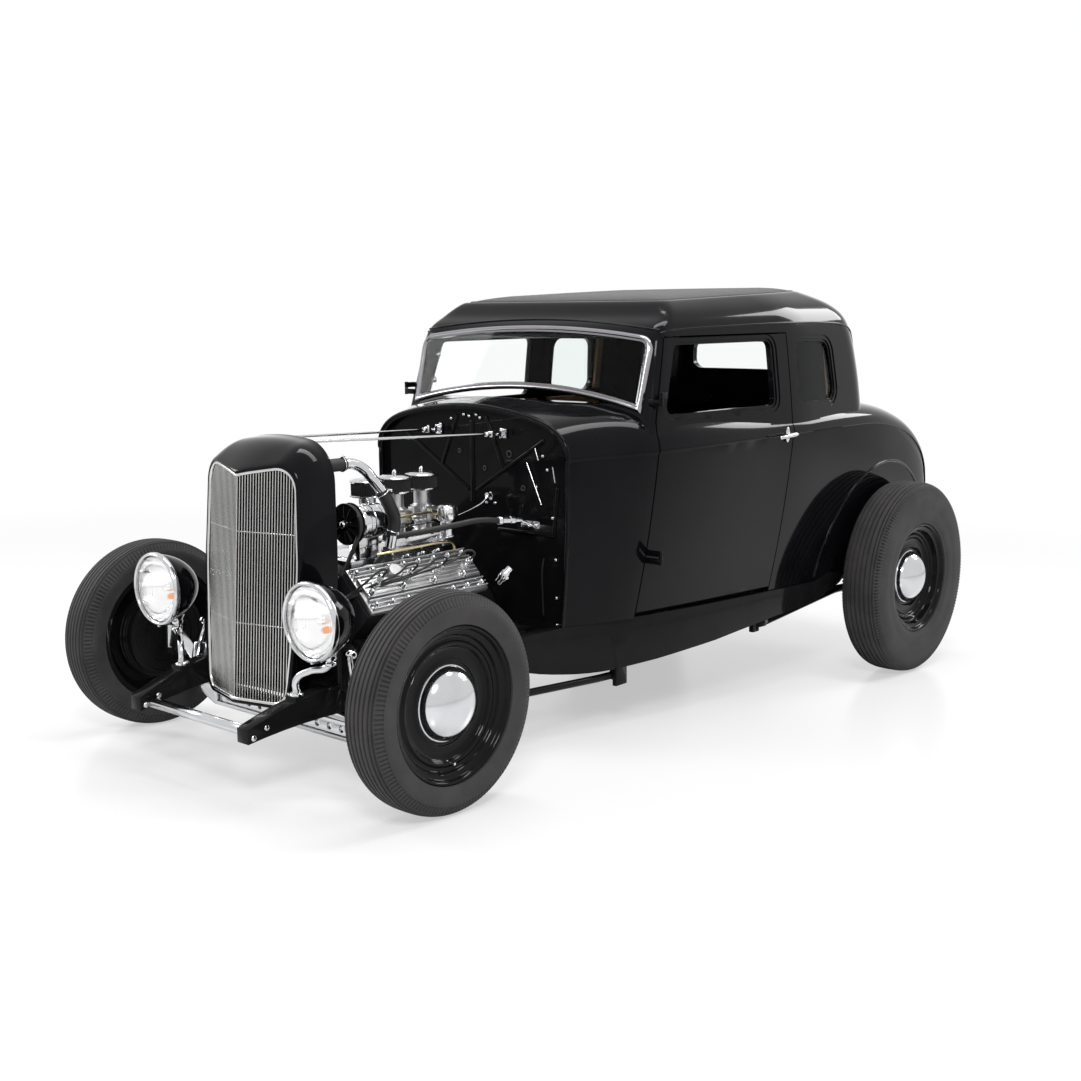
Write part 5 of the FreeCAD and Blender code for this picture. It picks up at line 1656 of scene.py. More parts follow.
@dataclass
class Engine:
    """V eight with finned alloy heads, three carburettors, generator, hoses and pipework.

    All but the upper hoses and the brake line is measured fore and aft from the front of the block.
    """

    front: float = 130.0
    length: float = 520.0
    tilt: float = radians(45)
    seat: Point = (210.2, 0.0, 534.2)
    deck: float = 646.0
    throats: tuple[float, ...] = (250.0, 372.0, 494.0)

    @property
    def lean(self) -> Matrix:
        """Turn of the left bank."""
        return Matrix.Translation(self.seat) @ Matrix.Rotation(self.tilt, 4, "Y")

    def mount(self, name: str, parts: Sequence[Piece], finish: Finish, angle: float = 34.0,
            replaces: Sequence[str] = (), twin: bool = True) -> None:
        """Fit parts that are measured from the front of the block.

        Args:
            name: Name of the piece.
            parts: Its parts.
            finish: Its finish.
            angle: Edges sharper than this many degrees stay sharp.
            replaces: The frame's nodes that it stands for.
            twin: True where the other side has the same.
        """
        place = SPRUNG @ Matrix.Translation((0, self.front, 0))
        fit(name, parts, finish, matrix=place, replaces=replaces, angle=angle, twin=twin)

    def block_and_sump(self) -> None:
        """Block with its core plugs and bolts."""
        smoothed("engine_block", ENGINE_BLACK, bevel=0.004)
        parts = [hexagon((98, y, 334), (0.5, 0, -1), 13, 5) for y in spread(30, 486, 9)]
        parts += [spun([(0, 24), (2.4, 24), (3, 20), (1.6, 18), (1.6, 0)], (176, y, 380), (0.74, 0, -0.67),
            28) for y in (80, 220, 360)]
        self.mount("block_bolts", parts, CHROME, 30)

    def heads(self) -> None:
        """Finned head, its raised middle and the water outlet, on each bank."""
        low, high = 6, self.length - 6
        parts = [block((-84, low, 0), (84, high, 20), 3), block((-37, low + 9, 18), (37, high - 9, 35), 5)]
        parts += [block((x - 2.1, low + 5, 18), (x + 2.1, high - 5, 34), 1.2, 1) for x in range(-75, 76, 15)
            if abs(x) > 33]
        parts += [block((x - 1.8, low + 16, 33), (x + 1.8, high - 16, 40), 1, 1) for x in range(-28, 29, 14)]
        parts += [spun([(0, 21), (17, 19), (20, 17), (20, 0)], (-2, y, 20), UP, 28)
            for y in spread(68, 452, 4)]
        parts.append(spun([(0, 30), (20, 26), (24, 23), (24, 0)], (-30, low + 150, 33), UP, 28))
        self.mount("heads_finned", [self.banked(parts)], BRUSHED, replaces=("cylinder_heads",))

    def banked(self, parts: Sequence[Piece]) -> Piece:
        """Join parts made flat and lean them on to the left bank."""
        return moved(joined(parts), self.lean)

    def head_nuts(self) -> None:
        """Bright cap nuts over washers, three rows on each head."""
        parts = []
        for i, y in enumerate(spread(30, 490, 8)):
            for x, z in ((-62, 20), (62, 20), (-22 if i % 2 else 24, 35)):
                parts.append(spun([(0, 14), (2.4, 14), (2.8, 12.5), (2.8, 0)], (x, y, z), UP, 16))
                parts.append(spun([(0, 10.5), (8, 10.5), (9, 9.6), (13, 8.4), (16.5, 5.4), (18, 0)],
                    (x, y, z + 2.4), UP, 16))
        self.mount("head_nuts", [self.banked(parts)], CHROME)

    def ignition(self) -> None:
        """Plugs, their leads in a loom, and the low front distributor with its two caps."""
        plugs, leads = [], []
        for i, y in enumerate(spread(68, 452, 4)):
            stem = spun([(0, 8), (7, 8), (9, 6), (24, 5.4), (26, 3.5), (31, 3.5), (31, 0)], (-2, y, 47), UP,
                20)
            plugs.append(self.banked([hexagon((-2, y, 39), UP, 21, 9), stem]))
            top = self.lean @ Vector((-2, y, 76))
            leads.append(rope([top, top + Vector((20, 0, 24)), (270, y - 18, 610 + 4 * i),
                (262, y - 60, 585 + 5 * i), (216 - 6 * i, -10 - 6 * i, 548 - 8 * i),
                (172 - 14 * i, -56, 506 - 7 * i)], 3.6))
        self.mount("plugs", plugs, CHROME)
        self.mount("plug_leads", leads, RED_WIRE, 50)
        cap = [spun([(0, 0), (0, 46), (13, 46), (15, 44), (20, 42), (24, 40), (34, 38), (38, 32), (40, 0)],
            (150, -0.3, 492), FORE, 40)]
        cap += [spun([(0, 7), (16, 6.4), (18, 4), (18, 0)], (150 + x, -36, 492 + z), FORE, 14)
            for x, z in around(5, 23)]
        self.mount("distributor_caps", cap, ENGINE_BLACK, replaces=("water_pumps",))

    def pump(self) -> None:
        """Water pump necks and lower hoses beside the crank pulley."""
        necks = [spun([(0, 0), (0, 50), (16, 50), (19, 48), (26, 40), (30, 36), (44, 31), (46, 29), (48, 26),
            (48, 0)], (130, -0.3, 392), FORE, 40), spun([(0, 27), (40, 25), (42, 22), (42, 0)],
            (150, -30, 372), (0.5, -0.6, -0.5), 28)]
        necks += [hexagon((130 + x, -18, 392 + z), FORE, 11, 5, 2) for x, z in around(6, 43, 0.3)]
        self.mount("pump_necks", necks, POLISHED, 38)
        hose = rope([(168, -52, 352), (182, -72, 344), (186, -92, 344), (176, -118, 348)], 20, rings=16)
        clamps = [rope(ring(place, way, 21), 2, True, False)
            for place, way in (((172, -58, 349), (0.6, -0.8, -0.2)), ((177, -108, 347), (-0.1, -1, 0.02)))]
        self.mount("lower_hoses", [hose], HOSE, 60)
        self.mount("lower_clamps", clamps, CHROME, 60)

    def manifold(self) -> None:
        """Polished intake with its flanges and studs."""
        smoothed("intake_manifold", POLISHED, bevel=0.004)
        parts = []
        for y in self.throats:
            parts.append(spun([(0, 44), (7, 44), (9, 42), (9, 0)], (0, y, self.deck - 1.5), UP, 40))
            parts += [hexagon((x, y, self.deck + 7), UP, 13, 8, 4) for x in (-33, 33)]
        parts += [hexagon((84 * sign, y, 594), (0.9 * sign, 0, 0.6), 14, 8, 4) for y in range(130, 481, 70)
            for sign in (-1, 1)]
        self.mount("manifold_studs", parts, CHROME, twin=False)

    def carburettors(self) -> None:
        """Three cast bodies with their throats, bowls, screws and linkage."""
        casts, bright, brass, deck = [], [], [], self.deck
        for y in self.throats:
            casts += [spun([(0, 0), (0, 36), (10, 36), (13, 30), (20, 26), (40, 27), (46, 34), (52, 36),
                (58, 36), (62, 33), (84, 33), (90, 36), (94, 37), (98, 33), (104, 28), (150, 28), (150, 0)],
                (0, y, deck), UP, 40), block((18, y - 27, deck + 50), (52, y + 27, deck + 92), 6),
                block((-50, y - 22, deck + 52), (-18, y + 22, deck + 88), 6)]
            bright += [hexagon((x, y + dy, deck + 90), UP, 8, 5) for x, dy in ((34, 18), (34, -18), (-36, 15),
                (-36, -15))]
            bright += [bar((-46, y, deck + 16), (46, y, deck + 16), 4), block((42, y - 5, deck + 14),
                (45, y + 5, deck + 44), 1)]
            brass += [hexagon((52, y + 10, deck + 60), LEFT, 13, 7), hexagon((50, y - 12, deck + 78), LEFT,
                15, 10)]
        bright.append(bar((47, 250, deck + 40), (47, 500, deck + 40), 3))
        self.mount("carburettor_bodies", casts, BRUSHED, replaces=("carburettors",), twin=False)
        self.mount("carburettor_fittings", bright, CHROME, twin=False)
        brass += [rope([(66, 220, deck + 78), (66, 370, deck + 80), (66, 496, deck + 78)], 4.5),
            rope([(182, 120, 642), (190, 170, 644), (190, 300, 645), (190, 400, 645), (184, 452, 634),
            (170, 474, 600)], 4.2, rings=8)]
        self.mount("fuel_fittings", brass, BRASS, 40, twin=False)

    def filters(self) -> None:
        """Pleated filters between bright plates, each held by a cap nut."""
        pleats, plates, low, steps = [], [], self.deck + 150, 120
        folds = [pair[k % 2] for k, pair in enumerate(zip(around(steps, 49), around(steps, 52.5)))]
        for y in self.throats:
            pleats.append(prism([(x, y + across, low + 4) for x, across in folds], (0, 0, 45)))
            plates += [spun([(-2, 0), (-2, 29), (-1, 50), (1, 56.5), (4, 57), (6, 54.5), (6, 0)], (0, y, low),
                UP, 56), spun([(46, 0), (46, 54.5), (48, 57), (51, 56.6), (54, 53), (55.5, 46), (57.5, 42),
                (59, 30), (60, 14), (60.5, 0)], (0, y, low), UP, 56), hexagon((0, y, low + 60), UP, 15, 9, 7)]
        self.mount("filter_pleats", pleats, PLEATS, 20, twin=False)
        self.mount("filter_plates", plates, CHROME, twin=False)

    def breather(self) -> None:
        """Bright oil filler with its cap behind the carburettors."""
        can = spun([(18, 0), (18, 30), (22, 30), (24, 24), (66, 24), (70, 27), (73, 31), (76, 31.5), (79, 30),
            (112, 30), (114, 31.5), (118, 31), (122, 28), (126, 20), (128, 0)], (46, 566, 612), UP, 40)
        self.mount("oil_filler", [can], CHROME, twin=False)

    def generator(self) -> None:
        """Bright generator with its screws, terminal, strap and foot."""
        case = spun([(0, 0), (0, 34), (3, 42), (8, 47), (13, 52), (18, 54), (24, 54), (25, 52.6), (38, 52.6),
            (39, 54), (82, 54), (83, 52.4), (88, 52.4), (89, 54), (106, 54), (112, 51), (117, 43), (121, 22),
            (123, 18), (123, 0)], (96, 98, 735), AFT, 72)
        screws = [hexagon((96 + x, 107, 735 + z), FORE, 9, 4) for x, z in around(8, 44)]
        self.mount("generator_case", [case, *screws, bar((74, 190, 782), (66, 190, 800), 4.5),
            block((80, 112, 618), (112, 194, 690), 5), rope(ring((96, 154, 735), AFT, 55), 2.2, True, False)],
            CHROME, replaces=("generator",), twin=False)

    def drive(self) -> None:
        """Pulleys with the fan pulley's vanes, and the belt round them."""
        y = 69.7
        wheels = [spun([(3, 20), (3, 60), (0, 62), (0, 64), (2, 66), (5, 65.6), (12, 54), (16, 54),
            (23, 65.6), (26, 66), (28, 64), (28, 20), (3, 20)], (96, y, 735), AFT, 64),
            spun([(-6, 0), (-6, 12), (0, 16), (28, 16), (28, 0)], (96, y, 735), AFT, 32),
            spun([(-4, 0), (-4, 22), (0, 26), (0, 72), (2, 74), (5, 73), (12, 61), (16, 61), (23, 73),
            (26, 74), (28, 72), (28, 30), (57.7, 30), (57.7, 0)], (0, -58, 372), AFT, 64)]
        for k in range(12):
            turn = Matrix.Rotation(tau * k / 12, 4, "Y") @ Matrix.Rotation(0.5, 4, "X")
            wheels.append(moved(block((20, -4, -1.2), (59, 6, 1.2), 0.8, 1),
                Matrix.Translation((96, y - 1.5, 735)) @ turn))
        self.mount("pulleys", wheels, WHEEL_BLACK, 30, ("belt_drive",), False)
        nuts = [hexagon((96, y - 5, 735), FORE, 22, 8, 4), hexagon((0, -61, 372), FORE, 40, 14, 6)]
        self.mount("pulley_nuts", nuts, CHROME, twin=False)
        self.mount("belt", [self.belt(y + 14)], HOSE, 40, twin=False)

    def belt(self, y: float) -> Piece:
        """Belt from the crank pulley, leaning back to the generator's.

        Args:
            y: Place of the generator's groove.

        Returns:
            The new piece.
        """
        low, high, first, second = Vector((0, 372)), Vector((96, 735)), 64, 57
        run = high - low
        base, opening = atan2(run.y, run.x), acos((first - second) / run.length)
        line = []
        for centre, radius, start, end, place in ((low, first, base + opening, base + tau - opening, -44),
                (high, second, base - opening, base + opening, y)):
            line += [Vector((centre.x + radius * cos(a), place, centre.y + radius * sin(a)))
                for a in spread(start, end, 25)]
        full = []
        for a, b in zip(line, [*line[1:], line[0]]):
            steps = 24 if (a - b).length > 100 else 1
            full += [a.lerp(b, k / steps) for k in range(steps)]
        loops = []
        for i, here in enumerate(full):
            ahead = full[(i + 1) % len(full)] - full[i - 1]
            out = Vector((ahead.z, 0, -ahead.x)).normalized()
            loops.append([here + out * up + Vector((0, across, 0)) for up, across in ((5, 6.5), (5, -6.5),
                (-4, -4.2), (-4, 4.2))])
        return lofted(loops, True)

    def hoses(self) -> None:
        """Upper hoses with bright necks and clamps."""
        bright = [rope(line, 17, rings=16) for line in ([(118, 175, 926), (122, 214, 925), (134, 246, 908),
            (150, 278, 866), (162, 306, 824)], [(167, 333, 700), (164, 328, 670), (160, 322, 636)])]
        hoses = [rope(line, 20.5, rings=16) for line in ([(118, 12, 926), (118, 70, 926.5), (118, 186, 926)],
            [(159, 298, 834), (168, 322, 786), (171, 338, 740), (167, 333, 692)],
            [(161, 324, 648), (156, 312, 622), (150, 292, 598), (148, 272, 580)])]
        for place, way in (((118, 22, 926), AFT), ((118, 176, 926), AFT), ((160.5, 302, 826), (0.3, 0.6, -1)),
                ((167.5, 334, 703), (-0.2, -0.3, -1)), ((159, 318, 638), (-0.2, -0.4, -1))):
            bright += [rope(ring(place, way, 21.5), 2.2, True, False),
                hexagon(aim(place, way) @ Vector((0, 0, 25)), LEFT, 9, 12)]
        fit("upper_necks", bright, CHROME, angle=50, twin=True)
        fit("upper_hoses", hoses, HOSE, replaces=("coolant_hoses",), angle=60, twin=True)

    def linkage(self) -> None:
        """Grey hose along the left side to its bright coupling on the firewall, and the brake line."""
        line = [(140, 190, 682), (170, 300, 686), (210, 430, 698), (240, 530, 706), (262, 600, 698)]
        self.mount("breather_hose", [rope(line, 10, rings=12)], HOSE, 60, twin=False)
        parts = [spun([(0, 0), (0, 13), (5, 15), (12, 15), (15, 12), (42, 12), (45, 15), (58, 15), (62, 11),
            (86, 10), (88, 0)], (260, 590, 699), (0.35, 1, -0.06), 24), block((262, 700, 664),
            (342, 706, 690), 3), bar((284, 668, 694), (300, 704, 678), 5)]
        parts += [hexagon((x, 701, 677), FORE, 12, 6, 3) for x in (272, 332)]
        self.mount("coupling", parts, CHROME, twin=False)
        fit("brake_line", [rope([(330, 868, 560), (336, 852, 520), (342, 846, 440), (350, 840, 372)], 3.2)],
            PIPE_BLACK, angle=60)
        yoke = spun([(-34, 0), (-34, 11), (-30, 13), (-18, 13), (-12, 17), (12, 17), (18, 13), (30, 13),
            (34, 11), (34, 0)], (256, 620, 510), (0.45, 0.5, 0.74), 28)
        self.mount("column_yoke", [yoke, bar((238, 626, 516), (274, 614, 504), 7)], CHROME, 40, twin=False)

    def build(self) -> None:
        """Make the engine."""
        for make in (self.block_and_sump, self.heads, self.head_nuts, self.ignition, self.pump, self.manifold,
                self.carburettors, self.filters, self.breather, self.generator, self.drive, self.hoses,
                self.linkage):
            make()


# ---------------------------------------------------------------- trim

def tapered(rows: Sequence[tuple[Point, float, float]]) -> Piece:
    """A solid of oval sections that lie across the car; each row is (middle, half width, half height)."""
    return lofted([[(x + wide * across, y, z + tall * up) for across, up in around(20, 1)]
        for (x, y, z), wide, tall in rows])


@dataclass
class Trim:
    """Windshield frame, beads, gutters, handles and stay rods on the body."""

    coachwork: Body
    lean: float = radians(14.84)
    gutter: tuple[Pair, ...] = ((1212, 1302), (1240, 1309), (1300, 1313), (1600, 1321), (2000, 1326),
        (2260, 1321), (2370, 1311), (2440, 1292), (2480, 1262), (2496, 1225))

    def side(self, y: float, z: float) -> Optional[Vector]:
        """Point on the left side of the skin."""
        return self.coachwork.reach(self.coachwork.outside, (900, y, z), (-1, 0, 0))

    def gutters(self) -> None:
        """Drip beads over the doors, and the one over the windshield."""
        line = [self.side(y, z) for y, z in self.gutter]
        fit("gutters", [rope([point for point in line if point], 4.2, rings=8)], BODY_BLACK, angle=60,
            twin=True)
        hits = [self.coachwork.reach(self.coachwork.outside, (x, 700, 1349 - 36 * (x / 552) ** 2), AFT)
            for x in spread(-552, 552, 41)]
        fit("header_bead", [rope([hit for hit in hits if hit], 4.2, smooth=False, rings=8)], BODY_BLACK,
            angle=60)

    def edges(self) -> None:
        """Rolled rim of the cowl, and of the wheel arches."""
        half = self.coachwork.skin.section(850, 0)
        loop = [(x - 2.5, 851, z) for x, z in half] + [(2.5 - x, 851, z) for x, z in reversed(half[:-1])]
        fit("cowl_rim", [rope(loop, 6.5, smooth=False, rings=10)], BODY_BLACK, angle=60)
        (y, z), radius = self.coachwork.arch_middle, self.coachwork.arch_radius + 2
        hits = [self.side(y + radius * cos(a), z + radius * sin(a)) for a in spread(radians(5), radians(177),
            61)]
        line = [hit - Vector((1.5, 0, 0)) for hit in hits if hit]
        fit("arch_rims", [rope(line, 6, smooth=False, rings=10)], BODY_BLACK, angle=60, twin=True)

    def windshield(self) -> None:
        """Bright moulding round the windshield, with round upper corners and mitred lower ones."""
        path = arc((-532.5, 1053), (0, 1117), (532.5, 1053), 36) + [(532.5, 1053)]
        path += [(532.5 + 5 * k / 6, 1053 + 195 * k / 6) for k in range(1, 6)]
        path += bezier((537.5, 1248), (537.5, 1274), (522, 1292), (494, 1295), 10)
        path += arc((494, 1295), (0, 1326), (-494, 1295), 36)
        path += bezier((-494, 1295), (-522, 1292), (-537.5, 1274), (-537.5, 1248), 10)
        path += [(-537.5 + 5 * k / 6, 1248 - 195 * k / 6) for k in range(6)]
        profile = [(-12.4, 0), (-12.4, 6), (-11, 8.6), (-8.8, 9.2), (-7, 8.2), (-5.6, 8.8), (-3.4, 12.4),
            (0, 15), (3.6, 15.4), (7.4, 13.4), (10.4, 9.4), (12, 4.6), (12.4, 0)]
        loops = []
        for i, (x, z) in enumerate(path):
            before, after = path[i - 1], path[(i + 1) % len(path)]
            first = Vector((z - before[1], before[0] - x)).normalized()
            second = Vector((after[1] - z, x - after[0])).normalized()
            out = (first + second) / (1 + first.dot(second))
            loops.append([(x + out.x * u, -w, z + out.y * u - 1033) for u, w in profile])
        pillar = self.coachwork.skin.pillar
        place = Matrix.Translation((0, pillar(1033) - 0.3, 1033)) @ Matrix.Rotation(-self.lean, 4, "X")
        fit("windshield_moulding", [moved(lofted(loops, True), place)], MOULDING,
            replaces=("windshield_frame",), angle=34)
        knobs = []
        for y, z in ((pillar(z) + 20, z) for z in (1120, 1216)):
            knobs += [bar((528, y - 6, z), (512, y + 26, z), 4),
                spun([(0, 0), (0, 9), (3, 11), (10, 11), (13, 8), (14, 0)], (514, y + 22, z), (-0.5, 1, 0),
                20)]
        fit("windshield_catches", knobs, CHROME, angle=40, twin=True)
        plain(("window_glass",), CLEAR)

    def handles(self) -> None:
        """Lever handle on an oval plate, on each door."""
        foot = self.side(1877, 918)
        reach = 684 - foot.x
        plate = spun([(-2, 0), (-2, 13), (1.5, 13.5), (4, 11.5), (6, 6), (7, 0)], foot, LEFT, 36)
        oval = Matrix.Translation(foot) @ Matrix.Diagonal((1, 1, 2.1, 1)) @ Matrix.Translation(-foot)
        stem = spun([(0, 0), (0, 8.5), (10, 7), (reach - 8, 6.5), (reach, 5), (reach, 0)], foot, LEFT, 28)
        lever = tapered([((680, 1906, 919), 2.2, 2.6), ((680, 1902, 919), 4.6, 5.4), ((680, 1888, 918.6), 7.2,
            8), ((680, 1877, 918), 7.8, 8.6), ((680.4, 1862, 917.4), 6.6, 7.8), ((681, 1836, 916.4), 5.6,
            7.2), ((681, 1810, 915.2), 5.2, 6.8), ((680.4, 1792, 914.4), 5.4, 7), ((680, 1784, 914), 4.4,
            5.6), ((680, 1781.5, 914), 2, 2.6)])
        handle = joined([moved(plate, oval), stem, lever])
        for side, sign in SIDES:
            twin = copied(handle, Matrix.Scale(sign, 4, LEFT))
            fit("door_handle_" + side, [twin], CHROME, "door_" + side, angle=40)
        bpy.data.objects.remove(handle)

    def stays(self) -> None:
        """Polished stay rods, each with a nut and a pinned fork at the firewall bracket."""
        start, end = Vector((95, 56.3, 1004)), Vector((155, 837.7, 972))
        way = (end - start).normalized()
        turn = aim(end - way * 38, way)
        fork = cut(block((0, -10, -11), (36, 10, 11), 3.5, 3), block((11, -4.2, -20), (60, 4.2, 20)))
        parts = [bar(start, end - way * 34, 4.2), moved(fork, turn), hexagon(end - way * 56, way, 17, 14),
            moved(bar((27, -14, 0), (27, 14, 0), 4.5), turn), moved(hexagon((27, 12, 0), AFT, 12, 5, 2),
            turn), hexagon(start + way * 2, way, 15, 8), block((151, 832, 962), (159, 866, 982), 2),
            block((140, 862, 955), (170, 867, 989), 2)]
        parts += [hexagon((x, 863, z), FORE, 10, 5, 2) for x, z in ((146, 960), (164, 984))]
        fit("stay_rods", parts, CHROME, replaces=("hood_rods",), angle=34, twin=True)

    def roof_cloth(self) -> None:
        """Cloth stretched over the roof opening, and the welt that holds its rim."""
        skin = self.coachwork.skin
        top = skin.levels[-1]
        loops = [skin.outline(top, inset, inset * 0.9 + lift) for inset, lift in ((25.4, -4), (26.2, 2),
            (29, 4.6), (40, 8.2), (60, 12.6), (90, 17.4), (130, 21.4))]
        last = loops[-1]
        middle = (min(y for _, y, _ in last) + max(y for _, y, _ in last)) / 2
        for share in (0.9, 0.78, 0.64, 0.48, 0.3, 0.12):
            swell, slope = 4.5 * (1 - share * share), top[1] / 925 * (1 - share)
            loops.append([(x * share, middle + (y - middle) * share, z + swell + slope * (middle - y))
                for x, y, z in last])
        rows, size = len(loops), len(last)
        faces = walls(rows, size) + [tuple(range((rows - 1) * size, rows * size))]
        cloth = outward(meshed([point for loop in loops for point in loop], faces))
        changed(cloth, "SOLIDIFY", thickness=1.6, offset=-1)
        fit("roof_cloth", [cloth], TOP_CLOTH, replaces=("roof_insert",), angle=60)
        rim = skin.outline(top, 24.6, 24.6 * 0.9 + 1.5)
        fit("roof_welt", [rope(rim, 5.4, True, False, rings=10)], WELT, angle=60)

    def build(self) -> None:
        """Fit the trim."""
        for make in (self.gutters, self.edges, self.windshield, self.handles, self.stays, self.roof_cloth):
            make()


# ---------------------------------------------------------------- cabin

def stuffed(piece: Piece, voxel: float, reach: float) -> Piece:
    """Swell a closed pad, made in metres, with a short cloth simulation.

    Args:
        piece: The pad, a little smaller than it ends.
        voxel: Size of its faces.
        reach: The furthest that a point may move.

    Returns:
        The same piece, stuffed.
    """
    piece.data.remesh_voxel_size = voxel
    pick(piece)
    bpy.ops.object.voxel_remesh()
    rest = [corner.co.copy() for corner in piece.data.vertices]
    cloth = piece.modifiers.new("stuffing", "CLOTH")
    cloth.settings.use_pressure = True
    cloth.settings.uniform_pressure_force = 4
    cloth.settings.effector_weights.gravity = 0
    for step in range(1, 21):
        bpy.context.scene.frame_set(step)
    grown = piece.evaluated_get(bpy.context.evaluated_depsgraph_get())
    ends = [corner.co.copy() for corner in grown.data.vertices]
    piece.modifiers.remove(cloth)
    bpy.context.scene.frame_set(1)
    for corner, start, end in zip(piece.data.vertices, rest, ends):
        step = end - start
        corner.co = start + step * min(1, reach / max(step.length, 1e-9))
    return changed(piece, "SUBSURF", levels=1, render_levels=1)


@dataclass
class Cabin:
    """Firewall, floor, dashboard, seat, steering wheel and linings."""

    coachwork: Body
    pleat: float = 64.0

    def swage(self, low: Pair, high: Pair, width: float = 15.0) -> Piece:
        """Raised rib pressed into the firewall between two points (x, z)."""
        across, up = high[0] - low[0], high[1] - low[1]
        piece = block((-4, -5.6, -width / 2), (hypot(across, up) + 4, 2, width / 2), 4.6, 3)
        return moved(piece, Matrix.Translation((low[0], 872, low[1])) @ Matrix.Rotation(-atan2(up, across), 4,
            "Y"))

    def firewall(self) -> None:
        """Bulkhead with its fan of ribs, grommets and small fittings."""
        half = [(x, z) for x, z in self.coachwork.skin.section(876, 15.4) if z > 350]
        half = [(half[0][0], 346.5)] + half
        loop = half + [(-x, z) for x, z in reversed(half[:-1])]
        plate = lofted([[(x, y, z) for x, z in loop] for y in (872, 880)])
        cut(plate, spun([(0, 0), (0, 110), (60, 110), (60, 0)], (0, 850, 346), AFT, 64))
        ribs = [plate, self.swage((0, 728), (0, 1006), 20)]
        for sign in (1, -1):
            ribs += [block((sign * near, 873, low), (sign * far, 878, 348), 0.8)
                for near, far, low in ((116, 374, 286), (370, 411, 339))]
            ribs += [self.swage((sign * x, z), (sign * to_x, to_z))
                for x, z, to_x, to_z in ((18, 768, 332, 955), (148, 852, 70, 1022), (120, 640, 372, 640),
                (372, 640, 392, 800))]
            ribs.append(block((sign * 145, 868, 960), (sign * 165, 873, 984), 1))
        fit("firewall_pressed", ribs, WALL_BLACK, replaces=("firewall",), angle=34)
        bits = [spun([(0, size), (-3, size), (-4, size - 2), (-3, size - 5), (0, size - 5)], (x, 872, z), AFT,
            28) for x, z, size in ((176, 902, 13), (-60, 900, 9), (60, 846, 9), (238, 790, 10),
            (-200, 800, 12))]
        fit("grommets", bits, HOSE, angle=50)
        bright = [hexagon((x, 871, z), FORE, 11, 6, 3) for x, z in ((-8, 1024), (26, 1030), (-34, 1028),
            (-96, 1012), (-150, 990), (-212, 978), (44, 1020), (330, 905), (350, 860), (300, 800), (372, 700),
            (384, 560), (386, 430), (90, 742), (70, 728), (110, 730))]
        bright += [bar((262, 862, 880), (330, 858, 742), 2.2), bar((300, 862, 930), (316, 860, 890), 2.2),
            bar((374, 866, 872), (384, 866, 820), 2.2), spun([(0, 0), (0, 11), (8, 11), (9, 8), (20, 8),
            (21, 10), (27, 10), (28, 0)], (92, 872, 756), FORE, 20),
            rope([(92, 846, 756), (92, 838, 744), (78, 800, 720), (64, 740, 700), (58, 700, 690)], 2.6)]
        fit("firewall_fittings", bright, CHROME, angle=34)

    def lining(self, low: Pair, high: Pair, thick: float, sign: int) -> Piece:
        """Panel that follows the inner wall between two corners (y, z).

        Args:
            low: Lower front corner.
            high: Upper rear corner.
            thick: Its thickness.
            sign: 1 on the left, -1 on the right.

        Returns:
            The panel.
        """
        columns = max(int((high[0] - low[0]) / 20), 3)
        heights = [low[1] + (high[1] - low[1]) * j / 12 for j in range(13)]
        loops = []
        for i in range(columns + 1):
            y = low[0] + (high[0] - low[0]) * i / columns
            line = [(self.coachwork.reach(self.coachwork.inside, (0, y, z), LEFT).x - 0.8, z)
                for z in heights]
            loops.append([(sign * (x - thick), y, z) for x, z in line] + [(sign * x, y, z)
                for x, z in reversed(line)])
        return changed(lofted(loops), "BEVEL", width=min(thick * 0.3, 2.5), segments=2, limit_method="ANGLE",
            angle_limit=radians(50))

    def linings(self) -> None:
        """Hide panels and wooden rails inside the doors and behind them."""
        for side, sign in SIDES:
            panel, rail = self.lining((1200, 425), (1886, 952), 5, sign), self.lining((1206, 960),
                (1886, 1008), 15, sign)
            fit("door_lining_" + side, [panel], SEAT_HIDE, "door_" + side, angle=40)
            fit("belt_rail_" + side, [rail], BELT_WOOD, "door_" + side, angle=40)
        wood = [self.lining((2262, 1034), (2296, 1252), 15, 1), self.lining((1962, 960), (2300, 1008), 15, 1)]
        fit("quarter_wood", wood, BELT_WOOD, angle=40, twin=True)

    def seat(self) -> None:
        """Bench seat: a pleated cushion and back, stuffed, on a boxed base."""
        base = [block((sign * 116, 1694, 328), (sign * 444, 2138, 446), 6) for sign in (1, -1)]
        fit("seat_base", base, CABIN_BLACK, angle=40)
        for name, outline, way, nodes in (("seat_cushion", [(1704, 448), (2126, 448), (2126, 456),
                (1748, 502), (1706, 484)], UP, ("seat",)),
                ("seat_back", [(2158, 462), (2254, 452), (2312, 886), (2296, 908), (2252, 890)], FORE, ())):
            pad = prism([(-434, y, z) for y, z in outline], (868, 0, 0))
            changed(pad, "BEVEL", width=12, segments=3, limit_method="ANGLE", angle_limit=radians(30))
            stuffed(moved(pad, SPRUNG), 0.0125, 0.011)
            normals = [corner.normal.copy() for corner in pad.data.vertices]
            for corner, normal in zip(pad.data.vertices, normals):
                across = corner.co.x * 1000 / self.pleat
                off = abs(across - round(across)) * self.pleat
                deep = 5.5 * exp(-(off / 6.5) ** 2) * max(0, min(1, (normal.dot(Vector(way)) - 0.35) * 3))
                corner.co -= normal * deep * 0.001
            fit(name, [pad], SEAT_HIDE, matrix=None, replaces=nodes, angle=70)

